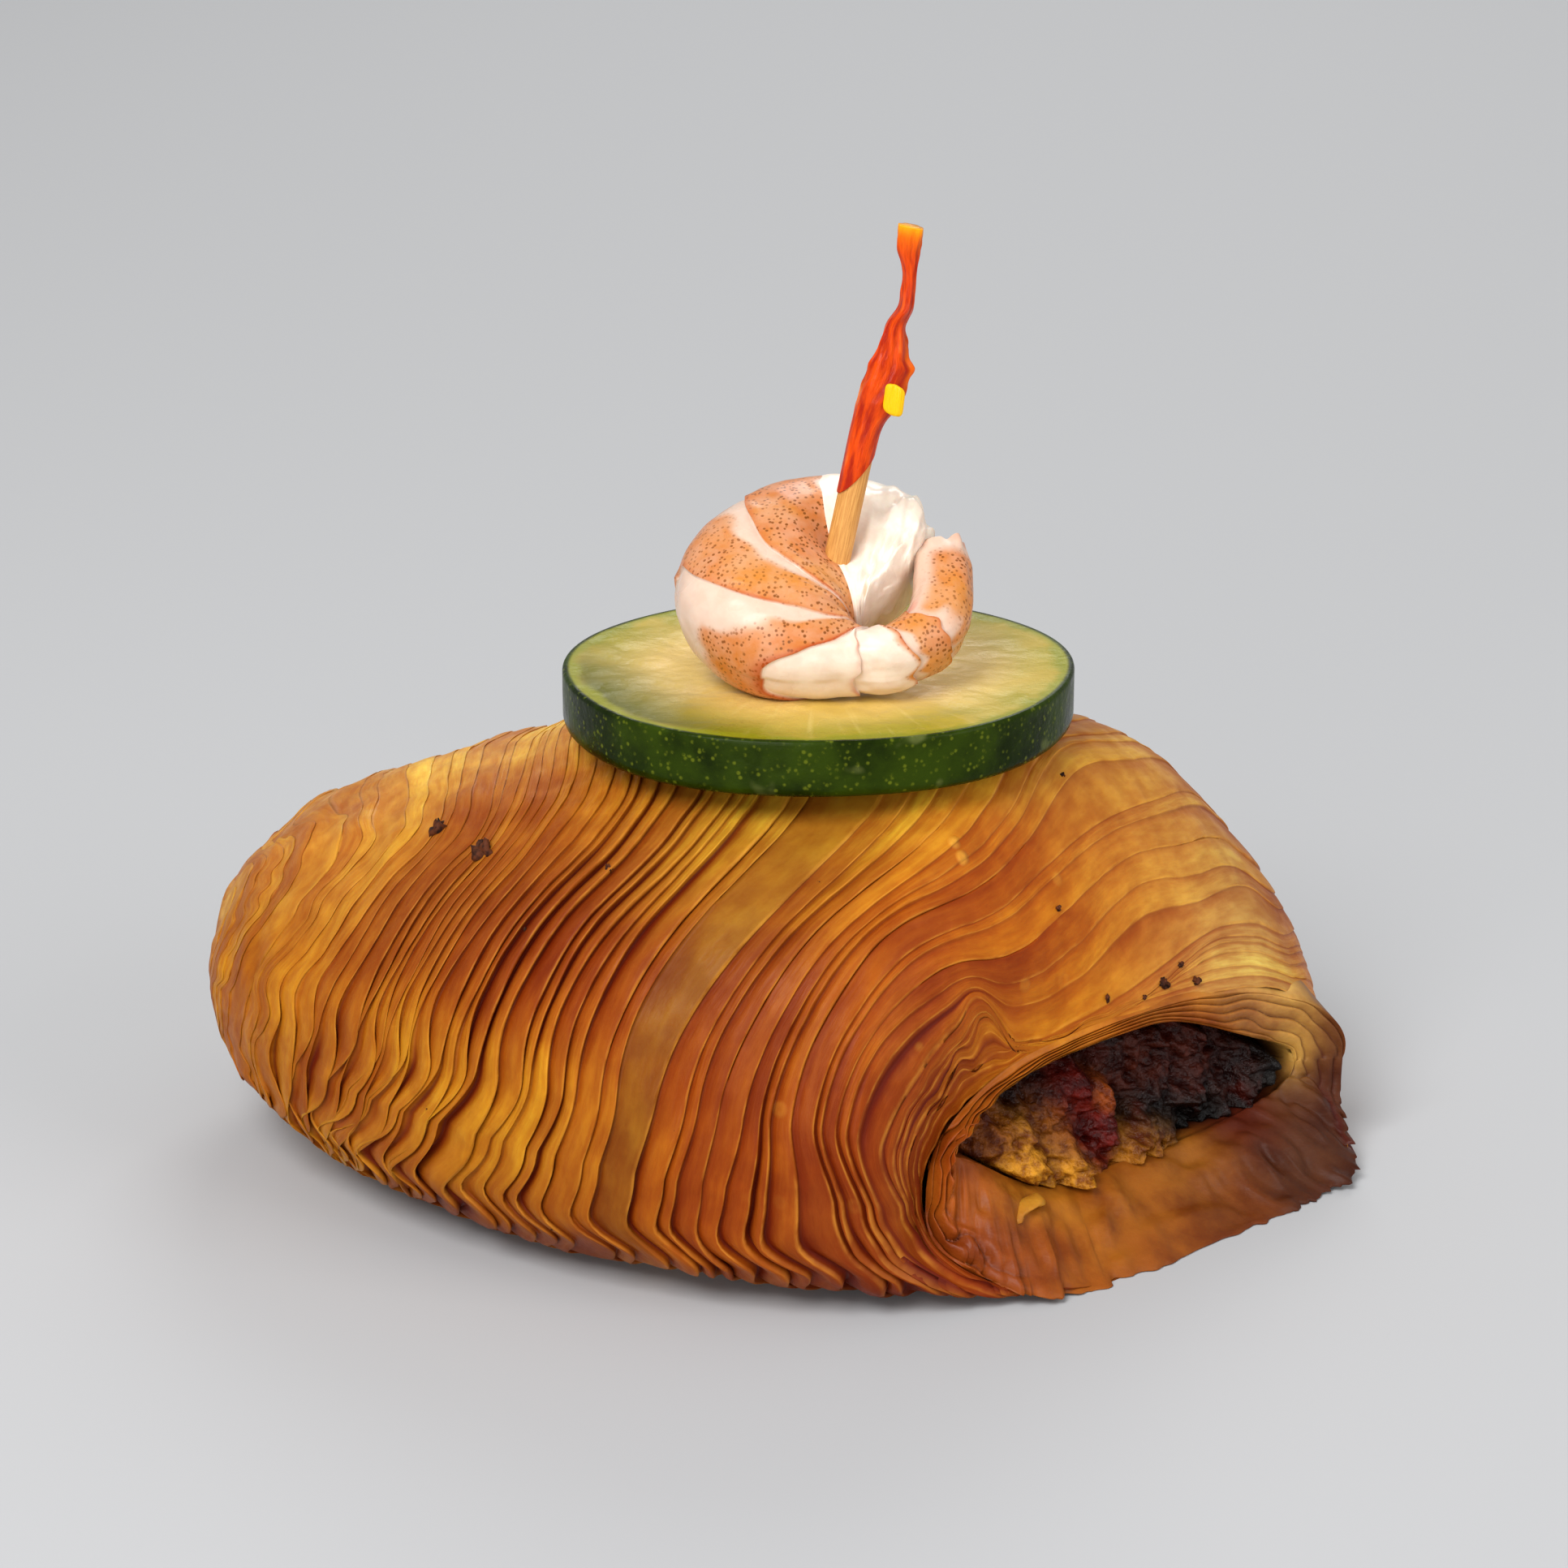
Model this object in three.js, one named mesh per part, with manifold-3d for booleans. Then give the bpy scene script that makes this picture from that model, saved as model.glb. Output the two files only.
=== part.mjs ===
// A sfogliatella riccia: ribbed shell pastry with a filled mouth, a zucchini slice on top,
// a curled prawn on the slice, and a frilled pick through all three.
// Millimetres, +Z up. The closed tip of the pastry points to -X, its mouth to +X and -Y.
import * as THREE from 'three';
import Module from 'manifold-3d';
import { mergeVertices } from 'three/addons/utils/BufferGeometryUtils.js';

const wasm = await Module();
wasm.setup();

// ---- driving dimensions ----
const GAP = 0.3; // clearance kept between neighbouring pieces
const TURNS = 26; // ridges of the wound dough, from tip to mouth
const RIDGE_HEIGHT = 0.9; // step from one sheet's edge down to the next sheet
const AROUND = 44; // points around each ring of the pastry
const BASE_PRESS = 0.5; // how far the baked base is flattened
const LIP_ROUNDING = 1.2; // thickness of the dough at the mouth's edge
const WALL = 4.2; // dough around the filling, inside the mouth
const CAVITY_DEPTH = 26; // how far the filling reaches in from the mouth
const MOUTH_FLOOR = 5.5; // height of the lower lip's inner line

const SLICE_SEAT = 41; // height of the slice's underside
const SLICE_THICKNESS = 5;
const SLICE_RADIUS_X = 22.2;
const SLICE_RADIUS_Y = 20.5;
const SLICE_CENTRE = new THREE.Vector2(3.4, 1);
const SLICE_TOP = SLICE_SEAT + SLICE_THICKNESS;

const PRAWN_CENTRE = new THREE.Vector3(7.1, -3.5, 51.9); // middle of the hole in the curl
const PRAWN_TILT = THREE.MathUtils.degToRad(28); // the curl leans back, its lower arc on the slice
const SEGMENT_STEP = 0.3; // each body segment's edge stands this far over the next one

const PICK_RADIUS = 1.15;
const PICK_POINT = new THREE.Vector3(4.6, -2.2, 55); // where the stick enters the prawn
const PICK_AXIS = new THREE.Vector3(0.205, 0, 1).normalize();
const PICK_BELOW = 33; // length from that point down to the stick's tip
const PICK_ABOVE = 17.5; // length from that point up to the stick's top, inside the film
const FILM_START = 7.6; // where the film's sleeve begins, above the same point
const FILM_END = 31.6; // top of the twisted film

// ---- shared helpers ----

// Smooth curve through the named values of a list of stations, read at s.
function along(stations, name, s) {
  const last = stations.length - 1;
  const at = THREE.MathUtils.clamp(s, stations[0].at, stations[last].at);
  let k = 0;
  while (k < last - 1 && at >= stations[k + 1].at) k += 1;
  const slope = (i) => {
    const a = stations[Math.max(i - 1, 0)];
    const b = stations[Math.min(i + 1, last)];
    return (b[name] - a[name]) / (b.at - a.at);
  };
  const span = stations[k + 1].at - stations[k].at;
  const u = (at - stations[k].at) / span;
  return (1 + 2 * u) * (1 - u) ** 2 * stations[k][name]
    + u * (1 - u) ** 2 * span * slope(k)
    + u * u * (3 - 2 * u) * stations[k + 1][name]
    + u * u * (u - 1) * span * slope(k + 1);
}

const smooth = (u) => {
  const v = THREE.MathUtils.clamp(u, 0, 1);
  return v * v * (3 - 2 * v);
};

// Signed power, which makes a circle's sine or cosine squarer (below 1) or more pointed (above 1).
const squared = (value, power) => Math.sign(value) * Math.abs(value) ** power;

// A closed body from a stack of rings: pointAt(row, column) gives Vector3s, and the first and
// last ring close on their own middle points.
function stackedRings(rows, columns, pointAt) {
  const points = [];
  for (let i = 0; i < rows; i += 1) {
    for (let j = 0; j < columns; j += 1) points.push(pointAt(i, j));
  }
  const middle = (row) => {
    const sum = new THREE.Vector3();
    for (let j = 0; j < columns; j += 1) sum.add(points[row * columns + j]);
    return sum.divideScalar(columns);
  };
  points.push(middle(0), middle(rows - 1));
  const faces = [];
  for (let j = 0; j < columns; j += 1) {
    const next = (j + 1) % columns;
    for (let i = 0; i < rows - 1; i += 1) {
      const a = i * columns;
      const b = a + columns;
      faces.push(a + j, a + next, b + next, a + j, b + next, b + j);
    }
    const end = (rows - 1) * columns;
    faces.push(rows * columns, next, j, rows * columns + 1, end + j, end + next);
  }
  const geometry = new THREE.BufferGeometry().setFromPoints(points);
  geometry.setIndex(faces);
  return geometry;
}

function toManifold(geometry) {
  const bare = geometry.clone();
  bare.deleteAttribute('normal');
  bare.deleteAttribute('uv');
  const merged = mergeVertices(bare, 1e-5);
  return new wasm.Manifold(new wasm.Mesh({
    numProp: 3,
    vertProperties: new Float32Array(merged.attributes.position.array),
    triVerts: new Uint32Array(merged.index.array),
  }));
}

function fromManifold(manifold) {
  const { vertProperties, triVerts, numProp } = manifold.getMesh();
  const geometry = new THREE.BufferGeometry();
  const position = new Float32Array((vertProperties.length / numProp) * 3);
  for (let i = 0; i < position.length / 3; i += 1) {
    for (let k = 0; k < 3; k += 1) position[i * 3 + k] = vertProperties[i * numProp + k];
  }
  geometry.setAttribute('position', new THREE.BufferAttribute(position, 3));
  geometry.setIndex(Array.from(triVerts));
  geometry.computeVertexNormals();
  return geometry;
}

function named(name, geometry, color, roughness) {
  const mesh = new THREE.Mesh(geometry, new THREE.MeshStandardMaterial({ color, roughness, flatShading: true }));
  mesh.name = name;
  return mesh;
}

// A round bar along the pick's axis, from one length to another above its entry point.
function pickBar(radius, from, to, sides = 20) {
  const bar = new THREE.CylinderGeometry(radius, radius, to - from, sides);
  const turn = new THREE.Quaternion().setFromUnitVectors(new THREE.Vector3(0, 1, 0), PICK_AXIS);
  bar.applyQuaternion(turn);
  const middle = PICK_AXIS.clone().multiplyScalar((from + to) / 2).add(PICK_POINT);
  return bar.translate(middle.x, middle.y, middle.z);
}

// The body with a hole for the pick, GAP wide all round and GAP deeper than its tip.
function pierced(geometry) {
  const hole = pickBar(PICK_RADIUS + GAP, -PICK_BELOW - GAP, PICK_ABOVE);
  return fromManifold(toManifold(geometry).subtract(toManifold(hole)));
}

// ---- pastry shell ----

// Rings of the clam shape from the tip (at 0) to the mouth (at 1). Each ring runs between a front
// and a back corner (fx, fy and bx, by), with its widest level, its top and its base. Its base
// is pushed ahead towards the mouth.
const RINGS = [
  { at: 0.00, fx: -52.0, fy: 9.5, bx: -52.0, by: 11.5, belt: 14.0, top: 14.5, base: 13.5, ahead: 0 },
  { at: 0.06, fx: -51.0, fy: 3.0, bx: -50.5, by: 16.0, belt: 14.0, top: 20.5, base: 7.5, ahead: 1 },
  { at: 0.16, fx: -46.0, fy: -7.0, bx: -44.0, by: 22.0, belt: 14.0, top: 28.5, base: 3.2, ahead: 2 },
  { at: 0.30, fx: -35.0, fy: -18.0, bx: -29.0, by: 28.0, belt: 13.5, top: 35.0, base: 0.6, ahead: 3 },
  { at: 0.48, fx: -19.0, fy: -29.0, bx: -6.0, by: 32.0, belt: 13.0, top: 39.5, base: 0, ahead: 3.5 },
  { at: 0.66, fx: -4.0, fy: -34.5, bx: 18.5, by: 32.0, belt: 12.5, top: 41.0, base: 0, ahead: 4 },
  { at: 0.82, fx: 6.0, fy: -35.0, bx: 40.0, by: 25.5, belt: 11.5, top: 38.5, base: 0, ahead: 5 },
  { at: 0.93, fx: 10.5, fy: -32.0, bx: 48.0, by: 14.5, belt: 10.0, top: 28.5, base: 0, ahead: 7.5 },
  { at: 1.00, fx: 12.0, fy: -27.5, bx: 49.0, by: 3.0, belt: 9.5, top: 19.0, base: 0.5, ahead: 10 },
];

// The middle, half width and directions of the ring at t: across its corners, and to the mouth.
function ringFrame(t) {
  const front = new THREE.Vector2(along(RINGS, 'fx', t), along(RINGS, 'fy', t));
  const back = new THREE.Vector2(along(RINGS, 'bx', t), along(RINGS, 'by', t));
  const half = back.clone().sub(front).divideScalar(2);
  const width = half.length();
  const across = half.clone().divideScalar(width);
  const ahead = new THREE.Vector2(across.y, -across.x);
  return { middle: front.add(half), width, across, ahead };
}

// The smooth outside of the pastry at t along it and at an angle round the ring, pushed out by lift.
function pastryPoint(t, angle, lift) {
  const { middle, width, across, ahead } = ringFrame(t);
  const belt = along(RINGS, 'belt', t);
  const side = Math.cos(angle);
  const up = Math.sin(angle);
  const lowPower = 0.8 - 0.28 * smooth(t / 0.35); // the underside is squarer away from the tip
  const sideways = (width + lift) * squared(side, up > 0 ? 0.9 : lowPower);
  const reach = up > 0 ? along(RINGS, 'top', t) - belt : belt - along(RINGS, 'base', t);
  const height = belt + (reach + lift) * squared(up, up > 0 ? 0.9 : lowPower);
  const forward = up < 0 ? along(RINGS, 'ahead', t) * smooth(-up) : 0;
  return new THREE.Vector3(
    middle.x + across.x * sideways + ahead.x * forward,
    middle.y + across.y * sideways + ahead.y * forward,
    height,
  );
}

// The dough's sheets overlap like tiles: each rises towards the mouth and ends in a free edge.
function shellOutside(turn, step, angle) {
  const start = 0.02;
  const end = 0.99;
  const sway = 0.3 * Math.sin(2 * angle + turn * 1.7) * Math.sin((Math.PI * turn) / TURNS);
  const share = (turn + step + sway) / TURNS;
  const t = start + (end - start) * (1 - (1 - share) ** 1.3); // the ridges are closer at the mouth
  const fade = smooth(turn / 2) * (1 - 0.6 * smooth((turn - TURNS + 3) / 3));
  const uneven = 1 + 0.35 * Math.sin(turn * 2.3 + angle * 3);
  const lift = (step > 0.5 ? RIDGE_HEIGHT : 0) * fade * uneven - RIDGE_HEIGHT / 2;
  return pastryPoint(t, angle, lift);
}

// The space inside the mouth, straight back from it: level below, arched above, deepest at k = 1.
function cavityPoint(k, angle, clearance) {
  const { middle, width, across, ahead } = ringFrame(1);
  const narrow = Math.sqrt(Math.max(1 - k ** 4, 0.02));
  const sideways = ((width - WALL) * (1 - 0.3 * k) * narrow - clearance) * squared(Math.cos(angle), 0.7);
  const floor = MOUTH_FLOOR + 1.5 * k;
  const roof = along(RINGS, 'top', 1) - LIP_ROUNDING - 2 * k;
  const rise = ((roof - floor) / 2) * narrow - clearance;
  const inward = 0.5 - CAVITY_DEPTH * k;
  return new THREE.Vector3(
    middle.x + across.x * sideways + ahead.x * inward,
    middle.y + across.y * sideways + ahead.y * inward,
    (floor + roof) / 2 + rise * squared(Math.sin(angle), 0.7),
  );
}

// Presses the base flat on the table, and the crown flat under the slice.
function pressed(point) {
  const x = (point.x - SLICE_CENTRE.x) / (SLICE_RADIUS_X + 1);
  const y = (point.y - SLICE_CENTRE.y) / (SLICE_RADIUS_Y + 1);
  const ceiling = Math.hypot(x, y) < 1 ? SLICE_SEAT - GAP : Infinity;
  return point.setZ(Math.min(Math.max(point.z - BASE_PRESS, 0), ceiling));
}

function pastryShell() {
  const rows = [];
  for (let turn = 0; turn < TURNS; turn += 1) {
    rows.push((angle) => shellOutside(turn, 0, angle));
    rows.push((angle) => shellOutside(turn, 0.86, angle));
  }
  rows.push((angle) => pastryPoint(0.995, angle, -0.3));
  rows.push((angle) => pastryPoint(1, angle, -LIP_ROUNDING));
  const lip = 3;
  for (let i = 1; i < lip; i += 1) {
    const rim = (angle) => pastryPoint(1, angle, -LIP_ROUNDING);
    rows.push((angle) => rim(angle).lerp(cavityPoint(0, angle, 0), i / lip));
  }
  const depths = [0, 0.2, 0.45, 0.7, 0.88, 0.97];
  depths.forEach((k) => rows.push((angle) => cavityPoint(k, angle, 0)));
  const body = stackedRings(rows.length, AROUND, (i, j) => pressed(rows[i]((2 * Math.PI * j) / AROUND)));
  return named('pastry_shell', pierced(body), 0xa8601c, 0.5);
}

// ---- filling ----

// Lumpy filling that follows the cavity and stops short of the mouth, higher at some lumps.
function filling() {
  const depths = [0.9, 0.7, 0.45, 0.2];
  const front = [0.85, 0.6, 0.3];
  const lump = (angle, amount) => 1 + amount * Math.sin(3 * angle + 0.7) * Math.cos(2 * angle);
  const rows = depths.map((k) => (angle) => cavityPoint(k, angle, 2 * GAP));
  front.forEach((share, i) => rows.push((angle) => {
    const edge = cavityPoint(0.12, angle, 3 * GAP);
    const middle = cavityPoint(0.02 + 0.03 * i, 0, 0).lerp(cavityPoint(0.02, Math.PI, 0), 0.5);
    return middle.lerp(edge, share * lump(angle, 0.12));
  }));
  const body = stackedRings(rows.length, AROUND, (i, j) => {
    const point = rows[i]((2 * Math.PI * j) / AROUND);
    return point.setZ(point.z - BASE_PRESS);
  });
  return named('filling', body, 0x5a2a12, 0.3);
}

// ---- zucchini slice ----

function zucchiniSlice() {
  const bevel = 0.35;
  const columns = 56;
  const rings = [
    { inset: 6, z: 0 }, { inset: bevel, z: 0 }, { inset: 0, z: bevel },
    { inset: 0, z: SLICE_THICKNESS - bevel }, { inset: bevel, z: SLICE_THICKNESS },
    { inset: 6, z: SLICE_THICKNESS },
  ];
  const body = stackedRings(rings.length, columns, (i, j) => {
    const angle = (2 * Math.PI * j) / columns;
    const uneven = 1 + 0.012 * Math.sin(2 * angle + 0.6) + 0.008 * Math.sin(5 * angle);
    return new THREE.Vector3(
      SLICE_CENTRE.x + (SLICE_RADIUS_X * uneven - rings[i].inset) * Math.cos(angle),
      SLICE_CENTRE.y + (SLICE_RADIUS_Y * uneven - rings[i].inset) * Math.sin(angle),
      SLICE_SEAT + rings[i].z,
    );
  });
  return named('zucchini_slice', pierced(body), 0x8e9a3c, 0.4);
}

// ---- prawn ----

// The peeled body from its cut head end round to the tail. It lies in a plane that leans back:
// turn is the angle round the curl in degrees, reach the distance of the body's middle from the
// hole, deep and wide its half sizes in and across that plane, and out its shift across it.
const BODY = [
  { at: 0.00, turn: 62, reach: 7.6, deep: 2.8, wide: 2.6, out: 0.0 },
  { at: 0.04, turn: 69, reach: 8.0, deep: 5.0, wide: 4.6, out: 0.0 },
  { at: 0.14, turn: 84, reach: 8.7, deep: 6.0, wide: 5.6, out: 0.0 },
  { at: 0.30, turn: 125, reach: 9.4, deep: 6.5, wide: 5.8, out: 0.0 },
  { at: 0.46, turn: 172, reach: 9.6, deep: 6.5, wide: 5.7, out: 0.0 },
  { at: 0.60, turn: 213, reach: 8.4, deep: 5.1, wide: 4.8, out: 0.0 },
  { at: 0.71, turn: 258, reach: 5.5, deep: 3.2, wide: 3.4, out: 0.0 },
  { at: 0.79, turn: 305, reach: 6.1, deep: 2.7, wide: 2.9, out: 0.0 },
  { at: 0.86, turn: 345, reach: 6.3, deep: 2.5, wide: 2.6, out: 0.2 },
  { at: 0.94, turn: 393, reach: 8.0, deep: 2.2, wide: 2.0, out: 1.0 },
  { at: 1.00, turn: 412, reach: 10.6, deep: 1.9, wide: 1.4, out: 1.6 },
];
const SEGMENT_ENDS = [0.16, 0.32, 0.47, 0.62, 0.80, 0.88]; // where one segment's edge laps the next

function prawnAxes() {
  const right = new THREE.Vector3(1, 0, 0);
  const back = new THREE.Vector3(0, Math.cos(PRAWN_TILT), Math.sin(PRAWN_TILT));
  return { right, back, across: new THREE.Vector3().crossVectors(right, back) };
}

function prawnPoint(s, angle) {
  const { right, back, across } = prawnAxes();
  const middleAt = (at) => {
    const turn = THREE.MathUtils.degToRad(along(BODY, 'turn', at));
    const reach = along(BODY, 'reach', at);
    return PRAWN_CENTRE.clone()
      .addScaledVector(right, reach * Math.cos(turn))
      .addScaledVector(back, reach * Math.sin(turn))
      .addScaledVector(across, along(BODY, 'out', at));
  };
  const ahead = middleAt(Math.min(s + 0.01, 1)).sub(middleAt(Math.max(s - 0.01, 0))).normalize();
  const outward = new THREE.Vector3().crossVectors(ahead, across).normalize();
  const next = SEGMENT_ENDS.find((end) => end >= s) ?? 1;
  const previous = [...SEGMENT_ENDS].reverse().find((end) => end < s) ?? 0;
  const lap = SEGMENT_STEP * ((s - previous) / (next - previous));
  const cosine = Math.cos(angle);
  const sine = Math.sin(angle);
  const power = cosine < 0 && sine > 0 ? 1.25 : 0.9; // the inner upper side slopes to the hole
  return middleAt(s)
    .addScaledVector(outward, (along(BODY, 'deep', s) + lap) * squared(cosine, power))
    .addScaledVector(across, (along(BODY, 'wide', s) + lap) * squared(sine, power));
}

function prawn() {
  const columns = 20;
  const stops = [0, 0.02, 0.05, 0.1];
  SEGMENT_ENDS.forEach((end, i) => {
    const from = stops[stops.length - 1];
    const steps = i === 0 ? 1 : 4;
    for (let k = 1; k < steps; k += 1) stops.push(from + ((end - from) * k) / steps);
    stops.push(end - 0.001, end + 0.004);
  });
  stops.push(0.92, 0.96, 1);
  const body = stackedRings(stops.length, columns, (i, j) => {
    const point = prawnPoint(stops[i], (-2 * Math.PI * j) / columns);
    return point.setZ(Math.max(point.z, SLICE_TOP + GAP));
  });
  return named('prawn', pierced(body), 0xe8a878, 0.35);
}

// ---- pick ----

function pickStick() {
  const point = 5;
  const profile = [
    new THREE.Vector2(0, -PICK_BELOW), new THREE.Vector2(PICK_RADIUS * 0.25, -PICK_BELOW + 0.4),
    new THREE.Vector2(PICK_RADIUS, -PICK_BELOW + point), new THREE.Vector2(PICK_RADIUS, PICK_ABOVE),
    new THREE.Vector2(0, PICK_ABOVE),
  ];
  const stick = new THREE.LatheGeometry(profile, 20);
  stick.applyQuaternion(new THREE.Quaternion().setFromUnitVectors(new THREE.Vector3(0, 1, 0), PICK_AXIS));
  stick.translate(PICK_POINT.x, PICK_POINT.y, PICK_POINT.z);
  return named('pick_stick', stick, 0xe8a850, 0.6);
}

// The twisted film, by its height above the pick's entry point: the shift of its middle along X,
// its half width and half thickness, and the turn of its flat section.
const FILM = [
  { at: 7.6, shift: 0.0, wide: 1.75, thin: 1.75, turn: 0 },
  { at: 12.2, shift: 0.0, wide: 1.75, thin: 1.75, turn: 0 },
  { at: 13.8, shift: 0.4, wide: 2.2, thin: 1.8, turn: 0 },
  { at: 17.0, shift: 0.6, wide: 2.4, thin: 1.8, turn: 15 },
  { at: 18.8, shift: 0.9, wide: 1.9, thin: 1.6, turn: 30 },
  { at: 21.2, shift: 0.5, wide: 1.1, thin: 0.9, turn: 60 },
  { at: 22.8, shift: 1.2, wide: 1.3, thin: 0.7, turn: 100 },
  { at: 25.8, shift: 0.6, wide: 0.75, thin: 0.55, turn: 150 },
  { at: 28.6, shift: 0.0, wide: 1.15, thin: 0.6, turn: 180 },
  { at: 31.6, shift: -0.1, wide: 1.2, thin: 0.9, turn: 190 },
];

function pickFilm() {
  const rows = 20;
  const columns = 14;
  const side = new THREE.Vector3(0, 1, 0).cross(PICK_AXIS).normalize();
  const depth = new THREE.Vector3().crossVectors(PICK_AXIS, side);
  const body = stackedRings(rows, columns, (i, j) => {
    const angle = (2 * Math.PI * j) / columns;
    const slant = i === 0 ? 1.5 * (1 + Math.cos(angle)) : 0; // the sleeve's lower edge is cut slanting
    const at = FILM_START + ((FILM_END - FILM_START) * i) / (rows - 1);
    const turn = THREE.MathUtils.degToRad(along(FILM, 'turn', at));
    const u = along(FILM, 'wide', at) * Math.cos(angle - turn);
    const v = along(FILM, 'thin', at) * Math.sin(angle - turn);
    return PICK_POINT.clone()
      .addScaledVector(PICK_AXIS, at + slant * 0.3)
      .addScaledVector(side, along(FILM, 'shift', at) + u * Math.cos(turn) - v * Math.sin(turn))
      .addScaledVector(depth, u * Math.sin(turn) + v * Math.cos(turn));
  });
  const bore = pickBar(PICK_RADIUS + GAP, 0, PICK_ABOVE + GAP, 14);
  return named('pick_film', fromManifold(toManifold(body).subtract(toManifold(bore))), 0xe0561c, 0.25);
}

// ---- the whole, its base at z = 0 and its middle on the origin ----
const sfogliatella = new THREE.Group();
sfogliatella.add(pastryShell(), filling(), zucchiniSlice(), prawn(), pickStick(), pickFilm());
const bounds = new THREE.Box3().setFromObject(sfogliatella);
const centre = bounds.getCenter(new THREE.Vector3());
sfogliatella.position.set(-centre.x, -centre.y, -bounds.min.z);
sfogliatella.updateMatrixWorld(true);

export default sfogliatella;
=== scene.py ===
import math

import bpy
import numpy as np
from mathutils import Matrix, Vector


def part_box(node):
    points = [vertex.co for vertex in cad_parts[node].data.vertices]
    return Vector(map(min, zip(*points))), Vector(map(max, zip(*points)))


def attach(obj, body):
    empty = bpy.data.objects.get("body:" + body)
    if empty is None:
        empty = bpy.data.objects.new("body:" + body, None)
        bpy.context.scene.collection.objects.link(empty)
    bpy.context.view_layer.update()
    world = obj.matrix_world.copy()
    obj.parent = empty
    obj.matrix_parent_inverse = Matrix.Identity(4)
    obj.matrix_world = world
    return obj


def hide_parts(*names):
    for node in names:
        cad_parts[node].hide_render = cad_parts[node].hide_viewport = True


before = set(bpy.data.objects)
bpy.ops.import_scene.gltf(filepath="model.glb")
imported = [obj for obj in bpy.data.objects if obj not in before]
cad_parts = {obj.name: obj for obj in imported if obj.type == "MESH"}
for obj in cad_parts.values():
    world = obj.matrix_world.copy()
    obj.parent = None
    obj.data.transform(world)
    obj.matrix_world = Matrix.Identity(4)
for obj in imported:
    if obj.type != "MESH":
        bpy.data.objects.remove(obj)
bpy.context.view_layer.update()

# ---- The table, the light and the camera ----
# A pale seamless table under a big soft light from the upper left, with weaker ones at the right,
# behind and low in front. The camera looks down on the pastry's front by twenty degrees.
MM = 0.001
slice_low, slice_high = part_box("zucchini_slice")
SLICE_MIDDLE = np.array([3.4, 1.0])  # where the slice sits in the pastry's own millimetres
placing = np.array([
    (slice_low.x + slice_high.x) / 2 / MM - SLICE_MIDDLE[0],
    (slice_low.y + slice_high.y) / 2 / MM - SLICE_MIDDLE[1],
    0.0,
])


def new_material(name):
    """An empty node material with its shader, ready to be filled."""
    material = bpy.data.materials.new(name)
    material.use_nodes = True
    return material, material.node_tree, material.node_tree.nodes["Principled BSDF"]


TABLE_SIZE = 8
CAMERA_AWAY = 0.4
LIT_POINT = Vector((0, 0, 0.03))

table_material, tree, shader = new_material("pale_table")
shader.inputs["Base Color"].default_value = (0.45, 0.455, 0.465, 1)
shader.inputs["Roughness"].default_value = 0.75
bpy.ops.mesh.primitive_plane_add(size=TABLE_SIZE)
table = bpy.context.object
table.name = "table"
table.data.materials.append(table_material)

world = bpy.data.worlds.new("soft_room")
bpy.context.scene.world = world
world.use_nodes = True
sky = world.node_tree.nodes["Background"]
sky.inputs["Color"].default_value = (1, 1, 1, 1)
sky.inputs["Strength"].default_value = 0.47

# name, place, size and power of each soft light, all turned to the pastry's middle
LIGHTS = [
    ("key_light", (-0.30, -0.52, 0.68), 0.45, 7.1),
    ("side_light", (0.75, -0.40, 0.45), 0.5, 2.8),
    ("back_light", (0.1, 0.8, 0.6), 0.4, 2.4),
    ("low_light", (-0.25, -0.85, 0.16), 0.4, 2.6),
]
for name, place, size, power in LIGHTS:
    light = bpy.data.lights.new(name, "AREA")
    light.size = size
    light.energy = power
    lamp = bpy.data.objects.new(name, light)
    lamp.location = place
    lamp.rotation_euler = (LIT_POINT - Vector(place)).to_track_quat("-Z", "Y").to_euler()
    bpy.context.collection.objects.link(lamp)

camera_data = bpy.data.cameras.new("camera")
camera_data.lens = 104.6
camera_data.sensor_width = 36
camera = bpy.data.objects.new("camera", camera_data)
LOOK_DOWN = math.radians(20)
AIM = Vector((0.0004 + placing[0] * MM, placing[1] * MM, 0.0353))
camera.location = AIM + Vector((0, -math.cos(LOOK_DOWN), math.sin(LOOK_DOWN))) * CAMERA_AWAY
camera.rotation_euler = (math.pi / 2 - LOOK_DOWN, 0, 0)
bpy.context.collection.objects.link(camera)
bpy.context.scene.camera = camera
bpy.context.scene.view_settings.view_transform = "Standard"

# ---- Pastry shell ----
# Thin dough rolled up and pushed out into a clam: fifty-six sheets overlap like tiles, each
# rising to a free edge that faces the mouth. The baked colour goes from pale gold on the crown
# to brown, with painted dark red shade in the grooves, painted highlights along the free edges
# and one wide smooth sheet across the middle.

# One ring in each row: place along the shell (0 tip, 1 mouth), front corner x and y, back corner
# x and y, level of the widest part, top, base, and how far the base is pushed to the mouth.
RINGS = np.array([
    (0.00, -52.0, 9.5, -52.0, 11.5, 14.0, 14.5, 13.5, 0),
    (0.06, -51.0, 3.0, -50.5, 16.0, 14.0, 20.5, 7.5, 1),
    (0.16, -46.0, -7.0, -44.0, 22.0, 14.0, 28.5, 3.2, 2),
    (0.30, -35.0, -18.0, -29.0, 28.0, 13.5, 35.0, 0.6, 3),
    (0.48, -19.0, -29.0, -6.0, 32.0, 13.0, 39.5, 0, 3.5),
    (0.66, -4.0, -34.5, 18.5, 32.0, 12.5, 41.0, 0, 4),
    (0.82, 6.0, -35.0, 40.0, 25.5, 11.5, 38.5, 0, 5),
    (0.93, 10.5, -32.0, 48.0, 14.5, 10.0, 28.5, 0, 7.5),
    (1.00, 12.0, -27.5, 49.0, 3.0, 9.5, 19.0, 0.5, 10),
])
TURNS = 56
ROUND = 200  # points round each ring
BASE_PRESS = 0.5  # the baked underside is flattened by this


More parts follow.
